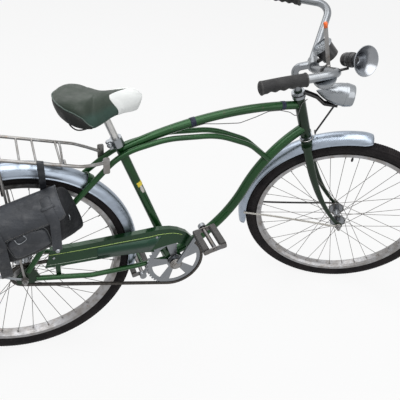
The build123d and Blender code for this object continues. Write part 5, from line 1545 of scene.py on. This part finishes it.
def horn_profile():
    flare = ((38, 13.5), (43, 14), (50, 16), (57, 19), (64, 23.5), (70, 29), (75, 34.5),
             (78, 37.4), (79.4, 38), (80, 37), (79.2, 36.2))
    throat = ((75.5, 33.6), (70.5, 27.8), (64.5, 22.2), (57.5, 17.6), (50.5, 14.4), (44, 12),
              (40, 9), (40, 0))
    return [((a - 79) / 1000, r / 1000) for a, r in flare + throat]


def make_horn():
    trumpet = add_piece("horn_flare", *lathe(horn_profile(), HORN_MOUTH, HORN_WAY, 64),
                        "steering", "chrome", HORN_CHROME)
    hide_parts("horn_trumpet")
    case = [(-85, 0), (-85, 9), (-84, 14), (-81, 17), (-77, 18), (-66, 18), (-65, 17.3),
            (-63, 17.3), (-62, 18), (-48, 18), (-46, 17.3), (-44, 17.3), (-43, 18), (-40, 17.6),
            (-38.5, 15), (-38, 0)]
    body = add_piece("horn_case", *lathe([(a / 1000, r / 1000) for a, r in case], HORN_MOUTH,
                                         HORN_WAY, 48), "steering", "black_paint", BLACK)
    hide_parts("horn_body")
    start = bar_rise(0.45, -1)
    under = HORN_MOUTH - HORN_WAY * 0.058 - Z * 0.022
    middle = start.lerp(under, 0.5) - Z * 0.003
    arm = tube(smooth_path([start, middle, under], 6), 0, flat=(0.012, 0.0045), normal=Z)
    clip = lathe([(-0.007, 0.0111), (-0.007, 0.0138), (0.007, 0.0138), (0.007, 0.0111)],
                 start, (bar_rise(0.5, -1) - start), 28)
    screw = lathe([(0, 0), (0, 0.0042), (0.004, 0.0040), (0.0048, 0.0028), (0.005, 0)],
                  start + Z * 0.012, Z, 12)
    strap = lathe([(-0.006, 0.0180), (-0.006, 0.0192), (0.006, 0.0192), (0.006, 0.0180)],
                  HORN_MOUTH - HORN_WAY * 0.056, HORN_WAY, 40)
    bracket = add_piece("horn_arm", *joined(arm, clip, screw, strap), "steering", "black_paint",
                        BLACK)
    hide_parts("horn_bracket")


def dial_frame():
    """Middle, facing and upward directions of the dial on the bar."""
    tilt = math.radians(50)
    facing = (TURN @ Vector((-math.sin(tilt), 0, math.cos(tilt)))).normalized()
    up = (TURN @ Vector((math.cos(tilt), 0, math.sin(tilt)))).normalized()
    return bar_spot(21, 0, 47), facing, up


def make_dial_face():
    """The dial: pale plate, ticks round three quarters of it, a needle and its glass."""
    middle, facing, up = dial_frame()
    side = up.cross(facing)
    seat = middle + facing * 0.0145
    add_piece("dial_plate", *lathe([(0, 0), (0, 0.0208), (0.0006, 0.0208), (0.0008, 0)], seat,
                                   facing, 40), "steering", "black_paint", DIAL_PAINT)
    place = Matrix((side, facing, up)).transposed().to_4x4()
    place.translation = seat + facing * 0.0009
    tick = block(Vector((0, 0.0002, 0.0178)), X, Y, Z, (0.0007, 0.0004, 0.0036), 0.1)
    ring_piece("dial_ticks", tick, 25, DIAL_INK, place, "steering", "black_paint",
               phase=math.radians(-135), sweep=math.radians(281))
    needle = block(Vector((-0.004, 0.0006, 0.004)), Vector((0.7, 0, -0.7)).normalized(), Y,
                   Vector((-0.7, 0, 0.7)).normalized(), (0.0011, 0.0005, 0.0190), 0.1)
    boss = lathe([(0.0002, 0), (0.0002, 0.0026), (0.0014, 0.0022), (0.0016, 0)], ZERO, Y, 16)
    add_piece("dial_needle", *moved(place, joined(needle, boss)), "steering", "black_paint",
              LEVER_ORANGE)
    add_piece("dial_glass", *lathe([(0.0032, 0), (0.0031, 0.010), (0.0024, 0.0206),
                                    (0.0018, 0.0208), (0.0022, 0.010), (0.0024, 0)], seat,
                                   facing, 40), "steering", "glass", GLASS)


def make_lever_tip():
    """The orange sleeve on the top of the upright lever, and the pivot at its foot."""
    top = bar_spot(-13, -80, 158)
    foot = bar_rise(0.447, -1) + TURN @ mm(5, 0, 10)
    way = (top - foot).normalized()
    add_piece("lever_tip", *lathe([(-0.013, 0.0030), (-0.0125, 0.0050), (-0.002, 0.0054),
                                   (0.0012, 0.0046), (0.0024, 0.0026), (0.0028, 0)], top, way,
                                  20), "steering", "rubber", LEVER_ORANGE)
    pivot = joined(
        lathe([(-0.006, 0), (-0.006, 0.0058), (0.005, 0.0062), (0.008, 0.0048), (0.009, 0)],
              foot, way, 20),
        lathe([(-0.007, 0), (-0.007, 0.0034), (0.007, 0.0034), (0.007, 0)], foot,
              way.orthogonal(), 6),
    )
    add_piece("lever_pivot", *pivot, "steering", "steel", STEEL)


HORN_CHROME = chrome_plate("horn_chrome", (0.28, 0.29, 0.305), 0.2)
DIAL_PAINT = stripe_paint("dial_paint", (0.62, 0.62, 0.58))
DIAL_INK = stripe_paint("dial_ink", (0.02, 0.02, 0.02))
LEVER_ORANGE = stripe_paint("lever_orange", (0.90, 0.16, 0.03))
make_horn()
make_dial_face()
make_lever_tip()


# ---- small hardware and painted trim ----------------------------------------------------
def hex_bolt(place, way, radius, height, washer=1.35):
    """A washer, a hexagon with its corners broken, and the end of its thread."""
    r, h = radius / 1000, height / 1000
    disc = lathe([(0, 0), (0, r * washer), (h * 0.22, r * washer), (h * 0.22, 0)], place, way, 20)
    head = lathe([(h * 0.2, 0), (h * 0.2, r), (h * 0.88, r), (h, r * 0.82), (h, 0)], place, way, 6)
    end = lathe([(h, 0), (h, r * 0.52), (h * 1.35, r * 0.50), (h * 1.42, r * 0.4),
                 (h * 1.42, 0)], place, way, 12)
    return joined(disc, head, end)


def make_frame_bolts():
    """The seat clamp's bolt, the guard's two screws and the crank's lock nut."""
    low, high = (Vector(corner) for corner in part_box("seat_clamp"))
    ear = Vector((low.x + 0.0075, 0, (low.z + high.z) / 2 - 0.003))
    clamp = joined(*(hex_bolt(ear + way * 0.0085, way, 6.0, 6.0) for way in (-Y, Y)))
    add_piece("seat_clamp_bolt", *clamp, "frame", "chrome", CHROME)
    screws = []
    for x, z in ((86, 50), (395, 60)):
        screws.append(lathe([(-0.0004, 0), (-0.0004, 0.0044), (0.0014, 0.0040),
                             (0.0021, 0.0024), (0.0022, 0)], on_guard(x, z), -Y, 16))
    add_piece("guard_screws", *joined(*screws), "frame", "chrome", CHROME)
    nut = joined(
        hex_bolt(CRANK_AXLE - Y * 0.0635, -Y, 15, 4.0, 1.2),
        lathe([(0, 0), (0, 0.021), (0.002, 0.0205), (0.002, 0)], CRANK_AXLE - Y * 0.0600, -Y, 40),
    )
    add_piece("crank_lock_nut", *nut, "crankset", "steel", STEEL)


def make_seat_tube_patch():
    """A plain yellow patch wrapped on the seat tube, with a pale band below it."""
    foot, head = rear_point(450, 0, -30), rear_point(308, 0, 330)
    along = (head - foot).normalized()
    centre = rear_point(346, 0, 233)
    centre = foot + along * (centre - foot).dot(along)
    side = -Y
    ahead = along.cross(side).normalized()
    steps = 12
    for name, finish, span, rise, radius, lift in (
        ("seat_tube_patch", PATCH_YELLOW, 62, 0.0085, 0.01365, 0.0),
        ("seat_tube_tail", CREAM, 22, 0.013, 0.01362, -0.020),
    ):
        points = []
        for i in range(steps + 1):
            level = 2 * i / steps - 1
            reach = span * math.sqrt(max(0.02, 1 - level ** 2 * 0.8))
            for j in range(steps + 1):
                angle = math.radians(-24 + reach * (2 * j / steps - 1))
                out = side * math.cos(angle) - ahead * math.sin(angle)
                points.append(centre + along * (rise * level + lift) + out * radius)
        faces = grid_faces(steps + 1, steps + 1)
        patch = add_piece(name, points, faces, "frame", "green_paint", finish)
        thicken(patch, 0.0002, 1.0)


def make_lower_cup_ring():
    """The pale ring between the head tube's lower cup and the fork crown."""
    crown = STEER_POINT + STEER_AXIS * ((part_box("headset_cups")[0][2] - STEER_POINT.z)
                                        / STEER_AXIS.z)
    ring = lathe([(-0.0035, 0.0195), (-0.0035, 0.0212), (0.0005, 0.0216), (0.0022, 0.0206),
                  (0.0022, 0.0195)], crown + STEER_AXIS * 0.004, STEER_AXIS, 40)
    add_piece("lower_cup_ring", *ring, "steering", "chrome", POST_STEEL)


PATCH_YELLOW = stripe_paint("patch_yellow", (0.72, 0.56, 0.04))
make_frame_bolts()
make_seat_tube_patch()
make_lower_cup_ring()


# ---- grips ----------------------------------------------------------------------------
GRIP_LENGTH = 118.0
GRIP_CAP = 4
GRIP_STEPS = 80
GRIP_TURNS = 40


def make_grip(hand, name):
    """Moulded grip: smooth above, four finger notches beneath, a lip at each end."""
    end, bend = (bar_spot(x, hand * y, z) for x, y, z in (BAR_END, BAR_BEND))
    along = (bend - end).normalized()
    side = along.cross(Z).normalized()
    up = side.cross(along)
    turns = GRIP_TURNS
    rows = []
    for i in range(GRIP_STEPS + 1):
        spot = -GRIP_CAP + (GRIP_LENGTH + GRIP_CAP) * i / GRIP_STEPS
        share = spot / GRIP_LENGTH
        out = unit((spot + GRIP_CAP) / 5) ** 0.5
        ring = []
        for k in range(turns):
            angle = math.tau * k / turns
            below = max(0.0, -math.cos(angle)) ** 0.7
            above = max(0.0, math.cos(angle))
            notch = 0.5 - 0.5 * math.cos(math.tau * unit((share - 0.12) / 0.76) * 4)
            radius = 15.4 + math.sin(math.pi * unit(share)) * above
            radius += (1.6 - 3.4 * notch) * below
            radius += 2.4 * math.exp(-((spot - 1) / 4.5) ** 2) * (0.3 + 0.7 * below)
            radius += 1.6 * math.exp(-((spot - 116) / 2.6) ** 2)
            radius *= 0.45 + 0.55 * out
            ring.append(end + along * spot / 1000
                        + (side * math.sin(angle) + up * math.cos(angle)) * radius / 1000)
        rows.append(ring)
    rows.append([
        end + along * 0.1183 + (side * math.sin(math.tau * k / turns)
                                + up * math.cos(math.tau * k / turns)) * 0.01125
        for k in range(turns)
    ])
    points = [p for ring in rows for p in ring]
    faces = grid_faces(len(rows), turns, wrap_columns=True) + [tuple(range(turns))]
    grip = add_piece(name, points, faces, "steering", "rubber", GRIP_RUBBER)
    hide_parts("grips")


GRIP_RUBBER = moulded_rubber("grip_rubber", (0.020, 0.020, 0.021))
make_grip(-1, "grip_right")
make_grip(1, "grip_left")
